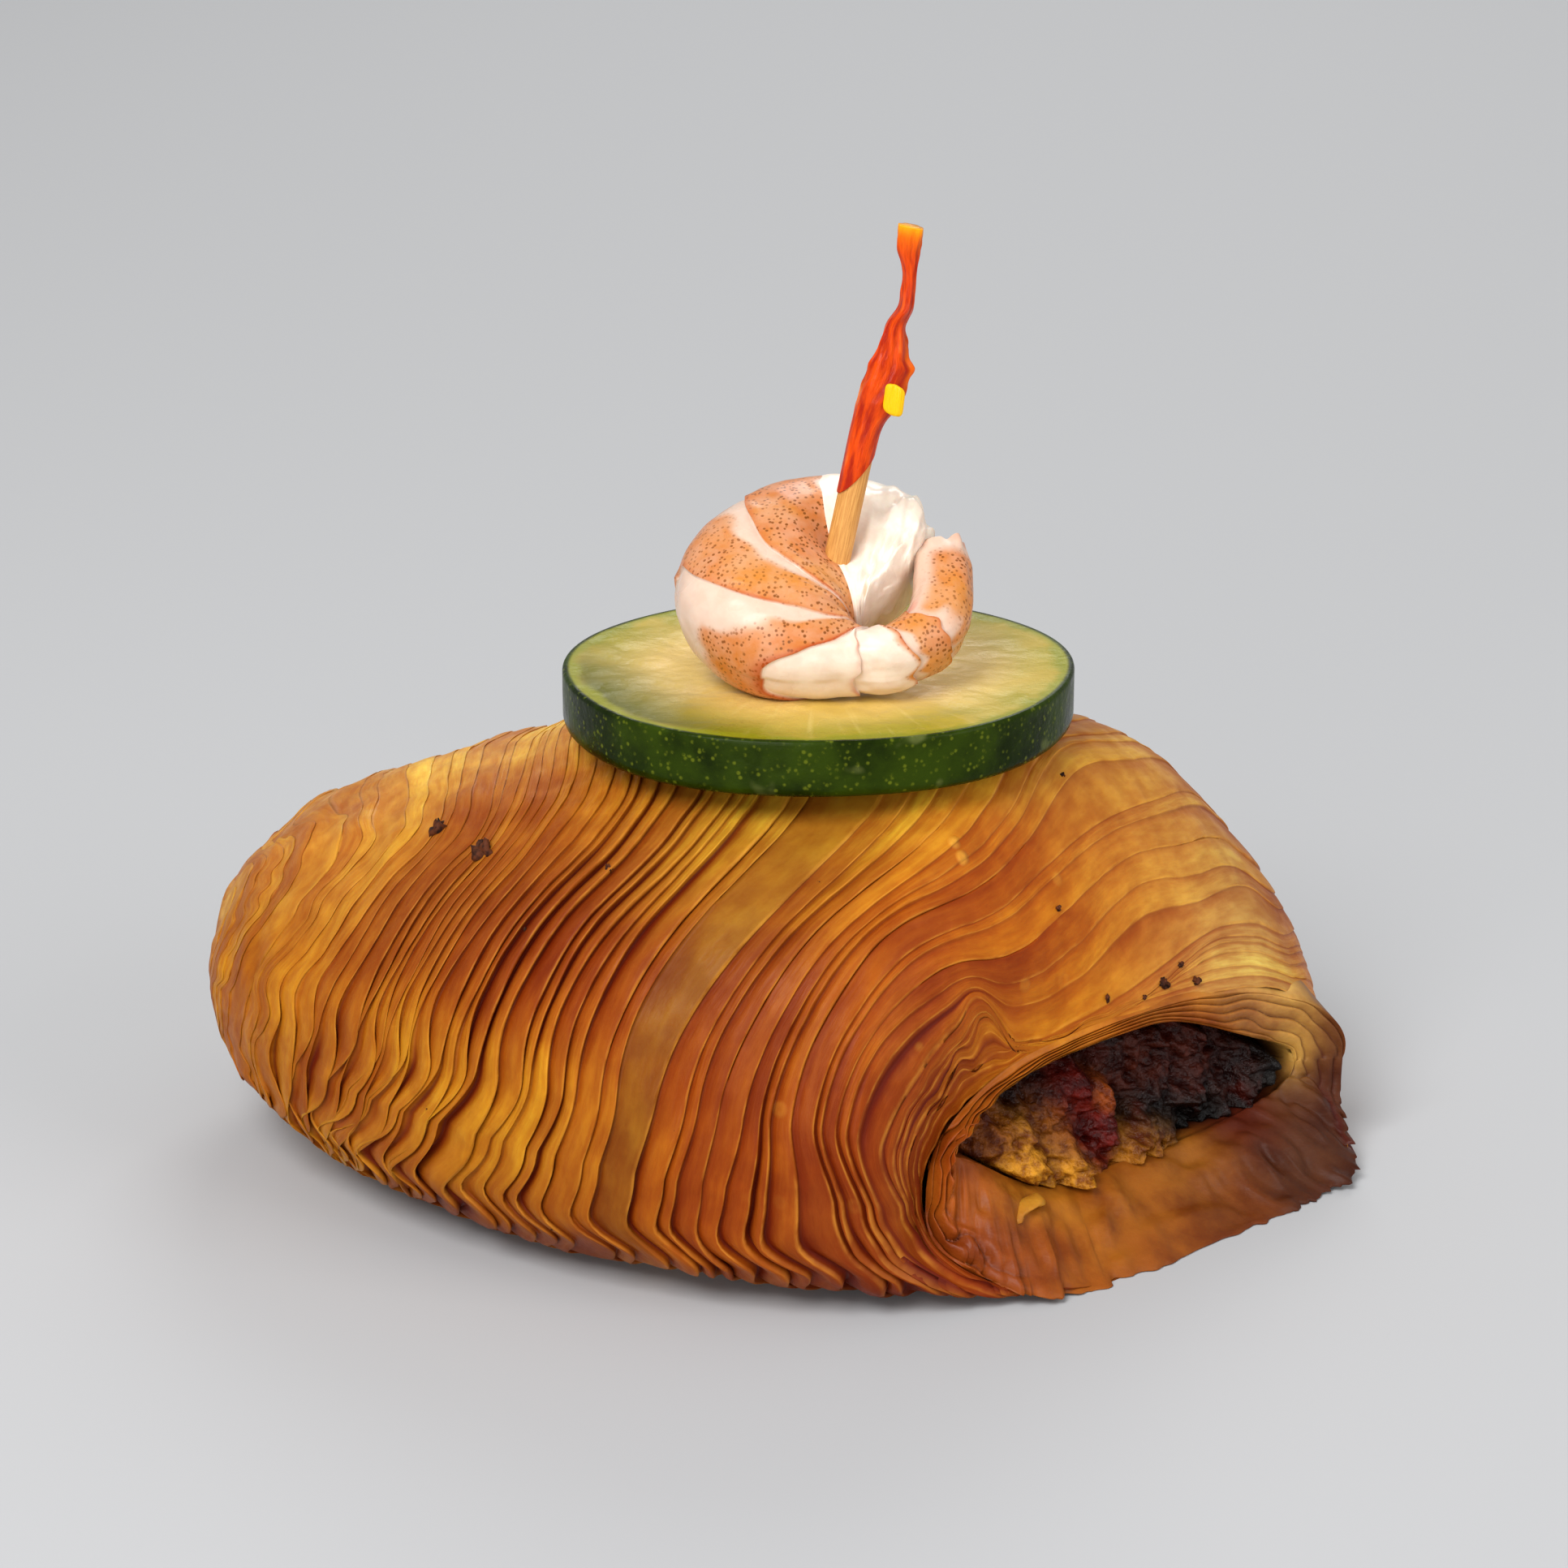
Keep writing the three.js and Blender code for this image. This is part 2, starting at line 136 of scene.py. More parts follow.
def curve(at, values, s):
    """A smooth curve through values at the places at, read at s; values may be rows of numbers."""
    values = np.asarray(values, float)
    s = np.clip(s, at[0], at[-1])
    slope = np.gradient(values, at, axis=0)
    k = np.clip(np.searchsorted(at, s, side="right") - 1, 0, len(at) - 2)
    span = at[k + 1] - at[k]
    u = (s - at[k]) / span
    if values.ndim > 1:
        u = u[..., None]
        span = span[..., None]
    return ((1 + 2 * u) * (1 - u) ** 2 * values[k] + u * (1 - u) ** 2 * span * slope[k]
            + u * u * (3 - 2 * u) * values[k + 1] + u * u * (u - 1) * span * slope[k + 1])


def smooth(u):
    """A soft step from 0 at 0 to 1 at 1."""
    u = np.clip(u, 0, 1)
    return u * u * (3 - 2 * u)


def power(value, exponent):
    """A power that keeps the sign: below 1 it squares a round outline off."""
    return np.sign(value) * np.abs(value) ** exponent


def bell(distance, width):
    """A soft hump of height 1."""
    return np.exp(-(distance / width) ** 2)


def waves(x, y, seed, size=256):
    """Smooth uneven values between -1 and 1 over a plane, one wave to each unit."""
    lattice = np.random.default_rng(seed).uniform(-1, 1, (size, size))
    x, y = np.broadcast_arrays(np.asarray(x, float), np.asarray(y, float))
    i = np.floor(x).astype(int)
    j = np.floor(y).astype(int)
    u = smooth(x - i)
    v = smooth(y - j)

    def corner(a, b):
        return lattice[(i + a) % size, (j + b) % size]

    low = corner(0, 0) * (1 - u) + corner(1, 0) * u
    high = corner(0, 1) * (1 - u) + corner(1, 1) * u
    return low * (1 - v) + high * v


def ring_frame(t):
    """Middle, half width, and the directions across the ring and ahead to the mouth, in plan."""
    ring = curve(RINGS[:, 0], RINGS[:, 1:], t)
    front, back = ring[..., 0:2], ring[..., 2:4]
    half = (back - front) / 2
    width = np.linalg.norm(half, axis=-1)
    across = half / width[..., None]
    ahead = np.stack([across[..., 1], -across[..., 0]], -1)
    return front + half, width, across, ahead, ring[..., 4:]


def pastry_point(t, angle, lift):
    """The shell's outside at t along it and an angle round the ring, pushed out by lift."""
    middle, width, across, ahead, heights = ring_frame(t)
    belt, top, base, push = (heights[..., i] for i in range(4))
    side, up = np.cos(angle), np.sin(angle)
    low_power = 0.8 - 0.28 * smooth(t / 0.35)
    exponent = np.where(up > 0, 0.9, low_power)
    sideways = (width + lift) * power(side, exponent)
    reach = np.where(up > 0, top - belt, belt - base)
    height = belt + (reach + lift) * power(up, exponent) - BASE_PRESS
    forward = np.where(up < 0, push * smooth(-up), 0)
    plan = middle + across * sideways[..., None] + ahead * forward[..., None]
    return np.concatenate([plan, np.maximum(height, 0.02)[..., None]], -1)


def skin(name, points, material, round_off=(True, True), masks=None, colours=None):
    """A mesh over rows of closed rings, in millimetres, with its ends closed where asked."""
    rows, columns = points.shape[:2]
    vertices = (points.reshape(-1, 3) + placing) * MM
    index = np.arange(rows * columns).reshape(rows, columns)
    after = np.roll(index, -1, axis=1)
    faces = np.stack([index[:-1], after[:-1], after[1:], index[1:]], -1).reshape(-1, 4).tolist()
    ends = []
    for closed, ring, turn in ((round_off[0], 0, -1), (round_off[1], rows - 1, 1)):
        if closed:
            hub = rows * columns + len(ends)
            ends.append(vertices[index[ring]].mean(0))
            rim = [(a, b)[::turn] for a, b in zip(index[ring], after[ring])]
            faces += [[hub, int(a), int(b)] for a, b in rim]
    mesh = bpy.data.meshes.new(name)
    mesh.from_pydata(np.vstack([vertices, *ends]).tolist(), [], faces)
    mesh.shade_smooth()
    for key, values in (masks or {}).items():
        full = np.concatenate([values.reshape(-1), [values[0].mean(), values[-1].mean()][:len(ends)]])
        mesh.attributes.new(key, "FLOAT", "POINT").data.foreach_set("value", full.astype(np.float32))
    for key, values in (colours or {}).items():
        full = np.vstack([values.reshape(-1, values.shape[-1]),
                          *[values[i].mean(0) for i in (0, -1)][:len(ends)]])
        full = np.hstack([full, np.ones((len(full), 4 - full.shape[1]))])
        layer = mesh.attributes.new(key, "FLOAT_COLOR", "POINT")
        layer.data.foreach_set("color", full.astype(np.float32).ravel())
    mesh.materials.append(material)
    piece = bpy.data.objects.new(name, mesh)
    bpy.context.collection.objects.link(piece)
    return piece


def run_length(line, weight=1.0):
    """The length along a line of points from its start, where steps may count for less."""
    steps = np.linalg.norm(np.diff(line, axis=0), axis=1)
    return np.concatenate([[0], np.cumsum(steps * weight)])


# Angles round the ring, close together on the crown and the front and wide apart underneath.
fine = np.linspace(0, 2 * np.pi, 2001)
outline = pastry_point(np.full_like(fine, 0.62), fine, np.zeros_like(fine))
weight = 1 - 0.7 * smooth((-np.sin(fine) - 0.75) / 0.15) - 0.35 * smooth(np.cos(fine) * 2)
length = run_length(outline, weight[1:])
ANGLES = np.interp(np.arange(ROUND) / ROUND * length[-1], length, fine)
arc = np.interp(ANGLES, fine, run_length(outline))

# Profile of a sheet: share of its width, and rise. The free edge overhangs the next sheet.
SHEET = [(0.0, 0.0), (0.08, 0.06), (0.22, 0.32), (0.45, 0.62), (0.70, 0.88), (0.92, 1.0),
         (1.03, 0.96), (1.02, 0.4)]
degrees = np.degrees(ANGLES)
from_crown = np.abs((degrees - 75 + 180) % 360 - 180)


def swing(base):
    """How far each sheet leaves its own ring: to the mouth over the crown and low at the front
    beside the mouth, to the tip low on the left, and in an S beside the mouth's corner."""
    room = np.minimum(1.0, 0.72 * (1 - base) / 0.115)
    crown = 0.115 * smooth((93 - from_crown) / 60) * np.tanh(base / 0.12) * room
    low = smooth((base - 0.64) / 0.14) * smooth((degrees - 168) / 20) * smooth((262 - degrees) / 50)
    low = 0.10 * low * np.minimum(1.0, 0.72 * (1 - base) / 0.10)
    leaves = 0.07 * bell(base - 0.36, 0.13)
    leaves = leaves * smooth((degrees - 168) / 28) * smooth((275 - degrees) / 50)
    corner = bell(base - 0.885, 0.055)
    fold = 0.030 * smooth((129 - degrees) / 8) * smooth((degrees - 60) / 40)
    fold = fold - 0.020 * bell(degrees - 130, 5)
    return crown + low - leaves + fold * corner


# Widths of the sheets: uneven from one to the next and along each, and one wide smooth sheet.
chance = np.random.default_rng(7)
turn = np.arange(TURNS)
place = (turn + 0.5) / TURNS
widths = np.exp(chance.normal(0, 0.38, TURNS))
WIDE_SHEET = 36
widths[:14] *= 0.85
widths[14:26] *= 0.72
widths[WIDE_SHEET] = 2.5
# the shares of the shell's length before the wide sheet and from it to the mouth
widths[:WIDE_SHEET] *= 0.537 / widths[:WIDE_SHEET].sum()
widths[WIDE_SHEET:] *= 0.453 / widths[WIDE_SHEET:].sum()
uneven = waves(turn[:, None] * 0.9, degrees[None] / 38, 3)
uneven += 0.5 * waves(turn[:, None] * 1.7, degrees[None] / 17, 4)
uneven[WIDE_SHEET] *= 0.2
widths = widths[:, None] * np.exp(0.30 * uneven)
widths[WIDE_SHEET] *= 0.6 + 0.75 * smooth((188 - degrees) / 60)
starts = np.concatenate([np.zeros((1, ROUND)), np.cumsum(widths, 0)])
starts = 0.008 + 0.985 * starts / starts[-1]
t_mid = (starts[:-1] + starts[1:]) / 2
starts = starts + swing(starts)

# How high each sheet's edge stands, in millimetres.
rise = np.full_like(t_mid, 0.30)
rise += 0.70 * bell(t_mid - 0.43, 0.07) * bell(degrees - 138, 30)  # deep folds left of the middle
rise += 0.90 * bell(t_mid - 0.30, 0.15) * bell(degrees - 196, 26)  # leaf-like folds, lower left
rise += 0.80 * bell(t_mid - 0.74, 0.20) * bell(degrees - 196, 22)  # deep folds low at the front
rise += 0.40 * bell(t_mid - 0.89, 0.07) * bell(degrees - 155, 28)  # gathered folds at the corner
rise -= 0.22 * smooth((t_mid - 0.56) / 0.1) * smooth((132 - degrees) / 20)  # flat steps, upper right
rise = np.maximum(rise, 0.14) * np.exp(0.85 * waves(turn[:, None] * 1.3, degrees[None] / 30, 5))
rise[WIDE_SHEET] *= 0.5
leafy = bell(t_mid - 0.29, 0.14) * bell(degrees - 192, 28)
# the tip and the crown on the left are soft, like crumpled cloth
soft_tip = smooth((0.27 - t_mid) / 0.12)
soft_crown = smooth((0.44 - t_mid) / 0.12) * smooth((140 - degrees) / 22)
soft = np.maximum(soft_tip, soft_crown) * (1 - 0.9 * bell(t_mid - 0.29, 0.12) * bell(degrees - 205, 26))
rise *= 1 - 0.72 * soft
rise *= 1 - 0.75 * smooth((t_mid - 0.955) / 0.03) * smooth((degrees - 170) / 15)
leaf_wave = np.sin(degrees[None] / 6.5 + turn[:, None] * 2.2)
rise *= 1 + 0.5 * leafy * leaf_wave
rise *= smooth(t_mid / 0.05)
pitch = (starts[1:] - starts[:-1]) * 100
rise = np.minimum(rise, pitch * 0.62)

rows = [(k, share, up) for k in range(TURNS) for share, up in SHEET]
sheet = np.array([row[0] for row in rows])
share = np.array([row[1] for row in rows])[:, None]
crest = np.array([row[2] for row in rows])[:, None]
base_place = t_mid[sheet]
# only the edges that stand up overhang the next sheet
overhang = np.where(share > 1, 1 + (share - 1) * smooth((rise[sheet] - 0.3) / 0.5), share)
t = starts[sheet] + overhang * (starts[sheet + 1] - starts[sheet])
angle = np.broadcast_to(ANGLES, t.shape)
spot = np.degrees(angle)

# Leaf-like edges low on the left, folds swinging to and fro on the jumbled tip, and gathered
# folds beside the mouth's corner.
t = t + (0.011 * leafy * leaf_wave)[sheet] * share
jumble = smooth((0.30 - base_place) / 0.2)
t = t + 0.016 * jumble * waves(base_place * 11, spot / 13, 11)
t = t + 0.006 * jumble * waves(base_place * 25, spot / 6, 13)
gathered = bell(base_place - 0.94, 0.05) * bell(spot - 140, 32)
t = t + 0.009 * gathered * waves(base_place * 34, spot / 5, 14)
t = t + 0.006 * gathered * waves(base_place * 12, spot / 9, 15)
t = np.clip(t, 0, 0.9995)

swell = 0.45 * waves(t * 9, spot / 35, 21) + 0.22 * waves(t * 22, spot / 16, 22)
wrinkle = 0.07 * waves(t * 60, arc[None] / 1.6, 23)
cloth = 0.55 * waves(t * 16, spot / 17, 24) + 0.45 * waves(t * 40 + spot / 60, spot / 22, 26)
cloth = cloth + 0.20 * waves(t * 90 + spot / 30, spot / 14, 27)
lift = rise[sheet] * (crest - 0.75) + swell + wrinkle * (0.3 + crest)
lift = lift + np.maximum(jumble, soft[sheet] * 0.8) * cloth
shell_points = pastry_point(t, angle, lift)

# The crown is pressed flat under the slice.
off_middle = shell_points[..., :2] - SLICE_MIDDLE
from_slice = np.hypot(off_middle[..., 0], off_middle[..., 1] * 1.08)
under_slice = smooth((25.5 - from_slice) / 2.5)
SLICE_GAP = 0.25
ceiling = slice_low.z / MM - SLICE_GAP
pressed = np.minimum(shell_points[..., 2], ceiling)
shell_points[..., 2] += (pressed - shell_points[..., 2]) * under_slice

# Baked colours by place: along the shell, angle round it, reach in degrees, colour.
BAKED = [
    (0.10, 150, 34, (0.29, 0.076, 0.005)),  # brown end
    (0.20, 95, 32, (0.50, 0.220, 0.042)),  # pale crown on the left
    (0.34, 70, 34, (0.68, 0.35, 0.09)),
    (0.34, 116, 20, (0.46, 0.165, 0.016)),
    (0.24, 165, 26, (0.31, 0.080, 0.006)),
    (0.22, 192, 30, (0.29, 0.082, 0.007)),
    (0.33, 185, 20, (0.36, 0.115, 0.008)),
    (0.40, 128, 18, (0.21, 0.034, 0.004)),
    (0.45, 134, 16, (0.11, 0.008, 0.003)),  # dark red where the deep grooves lie: baked colour darkened with painted groove shade
    (0.47, 152, 18, (0.27, 0.048, 0.005)),
    (0.47, 108, 20, (0.38, 0.090, 0.007)),
    (0.42, 178, 18, (0.38, 0.130, 0.007)),  # golden folds low in the middle
    (0.53, 180, 18, (0.32, 0.090, 0.006)),
    (0.40, 200, 13, (0.15, 0.026, 0.004)),
    (0.60, 118, 20, (0.32, 0.105, 0.010)),
    (0.67, 102, 17, (0.80, 0.600, 0.070)),  # golden just under the slice, brightened as painted light against the slice's shadow
    (0.68, 120, 18, (0.30, 0.082, 0.006)),
    (0.68, 145, 26, (0.16, 0.019, 0.003)),
    (0.64, 180, 24, (0.31, 0.062, 0.005)),
    (0.82, 125, 24, (0.38, 0.085, 0.006)),
    (0.88, 106, 18, (0.40, 0.078, 0.006)),
    (0.82, 80, 26, (0.48, 0.200, 0.028)),
    (0.90, 66, 22, (0.54, 0.240, 0.060)),  # pale moist right shoulder
    (0.93, 38, 18, (0.36, 0.090, 0.012)),
    (0.99, 52, 16, (0.50, 0.320, 0.120)),
    (0.96, 108, 20, (0.46, 0.145, 0.008)),
    (0.90, 150, 18, (0.27, 0.052, 0.005)),  # darker gathered corner
    (0.88, 180, 22, (0.25, 0.044, 0.005)),
    (0.76, 205, 24, (0.17, 0.024, 0.004)),
    (0.42, 215, 28, (0.17, 0.024, 0.005)),
    (0.50, 20, 45, (0.46, 0.160, 0.020)),  # back
    (0.80, 20, 40, (0.40, 0.140, 0.020)),
    (0.50, 270, 50, (0.40, 0.150, 0.030)),  # paler underside
]
OLIVE_BROWN = np.array((0.19, 0.068, 0.008))  # the wide sheet across the middle


def baked_colour(t, spot):
    """The baked colour at a place, between the colours of the places round it."""
    total = np.zeros(t.shape)
    colour = np.zeros((*t.shape, 3))
    for along_at, angle_at, reach, shade in BAKED:
        around = (spot - angle_at + 180) % 360 - 180
        share = np.exp(-((t - along_at) / 0.10) ** 2 - (around / reach) ** 2) + 1e-6
        total += share
        colour += share[..., None] * np.array(shade)
    return colour / total[..., None]


def fill_inputs(tree, node, inputs):
    """Set a node's inputs to numbers, or join them to other sockets."""
    for name, value in inputs.items():
        if isinstance(value, bpy.types.NodeSocket):
            tree.links.new(value, node.inputs[name])
        else:
            node.inputs[name].default_value = value


def add_node(tree, kind, inputs=None, **settings):
    """A node with its settings and its inputs."""
    node = tree.nodes.new(kind)
    for name, value in settings.items():
        setattr(node, name, value)
    fill_inputs(tree, node, inputs or {})
    return node


def blend_colours(tree, share, first, second, way="MIX"):
    """A colour between two, by a share that may vary over the surface."""
    mix = add_node(tree, "ShaderNodeMix", {0: share}, data_type="RGBA", blend_type=way)
    for socket, value in ((6, first), (7, second)):
        joined = isinstance(value, bpy.types.NodeSocket)
        fill_inputs(tree, mix, {socket: value if joined else (*value, 1.0)})
    return mix.outputs[2]


def rescaled(tree, value, low, high, new_low=0.0, new_high=1.0):
    """A value moved smoothly from one range to another, and held inside it."""
    node = add_node(tree, "ShaderNodeMapRange", {
        "Value": value, "From Min": low, "From Max": high, "To Min": new_low, "To Max": new_high,
    }, interpolation_type="SMOOTHSTEP")
    return node.outputs["Result"]


def maths(tree, way, first, second=0.0):
    """Two values added, multiplied and so on."""
    return add_node(tree, "ShaderNodeMath", {0: first, 1: second}, operation=way).outputs[0]


def attribute(tree, name, output="Fac"):
    """A value, colour or vector that the mesh holds at each point."""
    return add_node(tree, "ShaderNodeAttribute", attribute_name=name).outputs[output]


def effect_group(name, inputs, output):
    """A node group for an effect that several finishes share: its named inputs and one output."""
    tree = bpy.data.node_groups.new(name, "ShaderNodeTree")
    for label, (kind, value) in inputs.items():
        socket = tree.interface.new_socket(label, in_out="INPUT", socket_type="NodeSocket" + kind)
        if value is not None:
            socket.default_value = value
    tree.interface.new_socket(output[0], in_out="OUTPUT", socket_type="NodeSocket" + output[1])
    return tree, tree.nodes.new("NodeGroupInput").outputs, tree.nodes.new("NodeGroupOutput").inputs


# Grain: soft noise that can be drawn out along a direction.
grain_group, given, result = effect_group("grain", {
    "Place": ("Vector", None), "Stretch": ("Vector", (1, 1, 1)), "Scale": ("Float", 100.0),
    "Detail": ("Float", 3.0), "Roughness": ("Float", 0.55),
}, ("Grain", "Float"))
stretched = add_node(grain_group, "ShaderNodeMapping", {
    "Vector": given["Place"], "Scale": given["Stretch"],
})
noise = add_node(grain_group, "ShaderNodeTexNoise", {
    "Vector": stretched.outputs[0], "Scale": given["Scale"], "Detail": given["Detail"],
    "Roughness": given["Roughness"],
})
grain_group.links.new(noise.outputs["Fac"], result["Grain"])

# Dots: small round spots, one in the middle of each cell, on a share of the cells.
dots_group, given, result = effect_group("dots", {
    "Place": ("Vector", None), "Scale": ("Float", 1000.0), "Inner": ("Float", 0.2),
    "Outer": ("Float", 0.4), "Share": ("Float", 1.0),
}, ("Dot", "Float"))
cells = add_node(dots_group, "ShaderNodeTexVoronoi", {"Vector": given["Place"], "Scale": given["Scale"]})
inside = rescaled(dots_group, cells.outputs["Distance"], given["Inner"], given["Outer"], 1.0, 0.0)
picked = add_node(dots_group, "ShaderNodeSeparateColor", {0: cells.outputs["Color"]}).outputs[0]
picked = maths(dots_group, "LESS_THAN", picked, given["Share"])
dots_group.links.new(maths(dots_group, "MULTIPLY", inside, picked), result["Dot"])

# Shading: a colour made darker where a mask is low and lighter where it is high.
shading_group, given, result = effect_group("shading", {
    "Colour": ("Color", None), "Mask": ("Float", 0.5), "Low": ("Float", 0.3), "High": ("Float", 0.7),
    "Dark": ("Color", (0.8, 0.8, 0.8, 1)), "Light": ("Color", (1.1, 1.1, 1.1, 1)),
}, ("Colour", "Color"))
share_light = rescaled(shading_group, given["Mask"], given["Low"], given["High"])
shades = blend_colours(shading_group, share_light, given["Dark"], given["Light"])
shaded_colour = blend_colours(shading_group, 1.0, given["Colour"], shades, "MULTIPLY")
shading_group.links.new(shaded_colour, result["Colour"])


def placed_group(tree, group, inputs):
    """An effect placed in a material with its own values."""
    return add_node(tree, "ShaderNodeGroup", inputs, node_tree=group).outputs[0]


def grain(tree, place, scale, detail, roughness=0.55, stretch=(1, 1, 1)):
    """Grain over a place, as a value round a half."""
    return placed_group(tree, grain_group, {
        "Place": place, "Scale": scale, "Detail": detail, "Roughness": roughness, "Stretch": stretch,
    })


def dots(tree, place, scale, inner, outer, share=1.0):
    """Dots over a place, as a value that is 1 inside each."""
    return placed_group(tree, dots_group, {
        "Place": place, "Scale": scale, "Inner": inner, "Outer": outer, "Share": share,
    })


def shaded(tree, colour, mask, low, high, dark, light):
    """A colour times dark where the mask is low and times light where it is high."""
    return placed_group(tree, shading_group, {
        "Colour": colour, "Mask": mask, "Low": low, "High": high,
        "Dark": (*dark, 1), "Light": (*light, 1),
    })


def finish(tree, shader, colour, roughness, gloss, relief=None, glow=None):
    """Give a shader its colour, roughness and gloss. Relief is a height, its strength and its depth
    in metres; glow is the share of light that spreads inside, its tint and how far it goes."""
    inputs = {"Base Color": colour, "Roughness": roughness, "Specular IOR Level": gloss}
    if relief:
        bump = add_node(tree, "ShaderNodeBump", dict(zip(("Height", "Strength", "Distance"), relief)))
        inputs["Normal"] = bump.outputs[0]
    if glow:
        inputs.update(zip(("Subsurface Weight", "Subsurface Radius", "Subsurface Scale"), glow))
    fill_inputs(tree, shader, inputs)


DOUGH_GLOW = (0.12, (1.0, 0.35, 0.08), 0.0012)
dough_material, tree, shader = new_material("baked_dough")
tone = attribute(tree, "tone", "Color")
crest_mask = attribute(tree, "crest")
edge_highlight_mask = attribute(tree, "edge")
place_in_space = add_node(tree, "ShaderNodeTexCoord").outputs["Object"]
streaks = grain(tree, attribute(tree, "flow", "Vector"), 1.0, 4, 0.55, (3.0, 0.22, 1))
mottle = grain(tree, place_in_space, 300, 4)
patches = grain(tree, place_in_space, 55, 3)
depth = attribute(tree, "depth")
colour = shaded(tree, tone, mottle, 0.35, 0.68, (0.90, 0.84, 0.80), (1.08, 1.12, 1.08))
colour = shaded(tree, colour, streaks, 0.32, 0.70, (0.90, 0.78, 0.72), (1.09, 1.16, 1.10))
colour = shaded(tree, colour, patches, 0.36, 0.66, (0.84, 0.68, 0.60), (1.12, 1.24, 1.15))
# painted shade and light across each sheet: darker at its foot in the groove, more so where the folds
# are deep, and lighter up at its crest
deep_shade = blend_colours(tree, depth, (0.90, 0.78, 0.70), (0.50, 0.20, 0.14))
slope = blend_colours(tree, rescaled(tree, crest_mask, 0.05, 0.85), deep_shade, (1.08, 1.16, 1.0))
colour = blend_colours(tree, 1.0, colour, slope, "MULTIPLY")
# painted shade in the groove at the foot of each sheet, stronger where the folds are deep
reach = maths(tree, "ADD", maths(tree, "MULTIPLY", depth, 0.45), 0.10)
groove_shade = rescaled(tree, maths(tree, "DIVIDE", crest_mask, reach), 0.0, 1.0, 1.0, 0.0)
groove_shade = maths(tree, "MULTIPLY", groove_shade, maths(tree, "ADD", maths(tree, "MULTIPLY", depth, 0.75), 0.08))
colour = blend_colours(tree, groove_shade, colour, (0.110, 0.010, 0.003))
# painted highlight along each sheet's free edge, broken up by the streaks
edge = maths(tree, "MULTIPLY", edge_highlight_mask, rescaled(tree, streaks, 0.38, 0.62, 0.05, 0.40))
colour = blend_colours(tree, edge, colour, (0.80, 0.34, 0.04))
bubble = dots(tree, place_in_space, 330, 0.16, 0.30, 0.16)
hollow = dots(tree, place_in_space, 330, 0.04, 0.14, 0.16)
bubble = maths(tree, "SUBTRACT", bubble, maths(tree, "MULTIPLY", hollow, 0.7))
bubble = maths(tree, "MULTIPLY", bubble, attribute(tree, "blister"))
colour = blend_colours(tree, maths(tree, "MULTIPLY", bubble, 0.55), colour, (0.80, 0.40, 0.05))
relief = maths(tree, "ADD", maths(tree, "MULTIPLY", streaks, 0.6), maths(tree, "MULTIPLY", mottle, 0.5))
relief = maths(tree, "ADD", relief, maths(tree, "MULTIPLY", bubble, 0.8))
finish(tree, shader, colour, rescaled(tree, mottle, 0.3, 0.7, 0.52, 0.36), 0.08,
       (relief, 0.55, 0.0004), DOUGH_GLOW)

# each sheet is a little lighter or darker than the next, and the wide one is olive-brown
unlike = waves(sheet[:, None] * 3.7, spot / 40, 25)[..., None]
sheet_tone = baked_colour(t, spot) * np.exp(unlike * (0.26, 0.50, 0.35))
olive = 0.72 * (sheet == WIDE_SHEET)[:, None] * smooth((205 - spot) / 15) * smooth((spot - 60) / 30)
olive_light = olive * (1 + 0.35 * smooth((150 - spot) / 30))
sheet_tone = sheet_tone * (1 - olive[..., None]) + OLIVE_BROWN * olive_light[..., None]
# the rows at each sheet's free edge, which carry the painted highlight
edge_rows = np.where((share > 1.0) & (crest > 0.9), 1.0, 0.0) * np.ones_like(t)
phase = (sheet[:, None] + share) * np.ones_like(t)
pastry = skin(
    "pastry_sheets", shell_points, dough_material, round_off=(True, False),
    masks={
        "crest": 0.8 + (crest - 0.8) * (1 - 0.75 * soft[sheet]),
        "edge": edge_rows * (1 - 0.7 * soft[sheet]) * (1 - 0.6 * smooth((spot - 190) / 15)),
        "depth": smooth((rise[sheet] - 0.35) / 0.6),
        "blister": bell(t - 0.78, 0.14) * bell(spot - 125, 35),
    },
    colours={
        "tone": sheet_tone,
        "flow": np.stack([phase, arc[None] * np.ones_like(t), np.zeros_like(t)], -1),
    },
)
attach(pastry, "root")
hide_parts("pastry_shell")

# ---- Burnt crumbs ----
# Crumbs of dough that charred in the oven and stuck to the crust: two large ones on the left
# shoulder, a few specks, and a loose row above the mouth.

# place along the shell, angle round it, half size in millimetres
CRUMBS = [(0.342, 116, 0.7), (0.389, 123, 0.8), (0.504, 127, 0.3), (0.915, 103, 0.2), (0.70, 128, 0.2),
          (0.36, 178, 0.2), (0.47, 196, 0.22), (0.60, 172, 0.2), (0.83, 88, 0.22), (0.44, 140, 0.16),
          (0.986, 95, 0.30), (0.993, 87, 0.18), (0.989, 82, 0.40), (0.981, 77, 0.22), (0.992, 73, 0.34)]
CRUMB_ROWS, CRUMB_COLUMNS = 10, 16


def full_turn(rows, columns):
    """Even angles round a ring, the same in each row."""
    return np.ones((rows, 1)) * (np.arange(columns) * 2 * np.pi / columns)


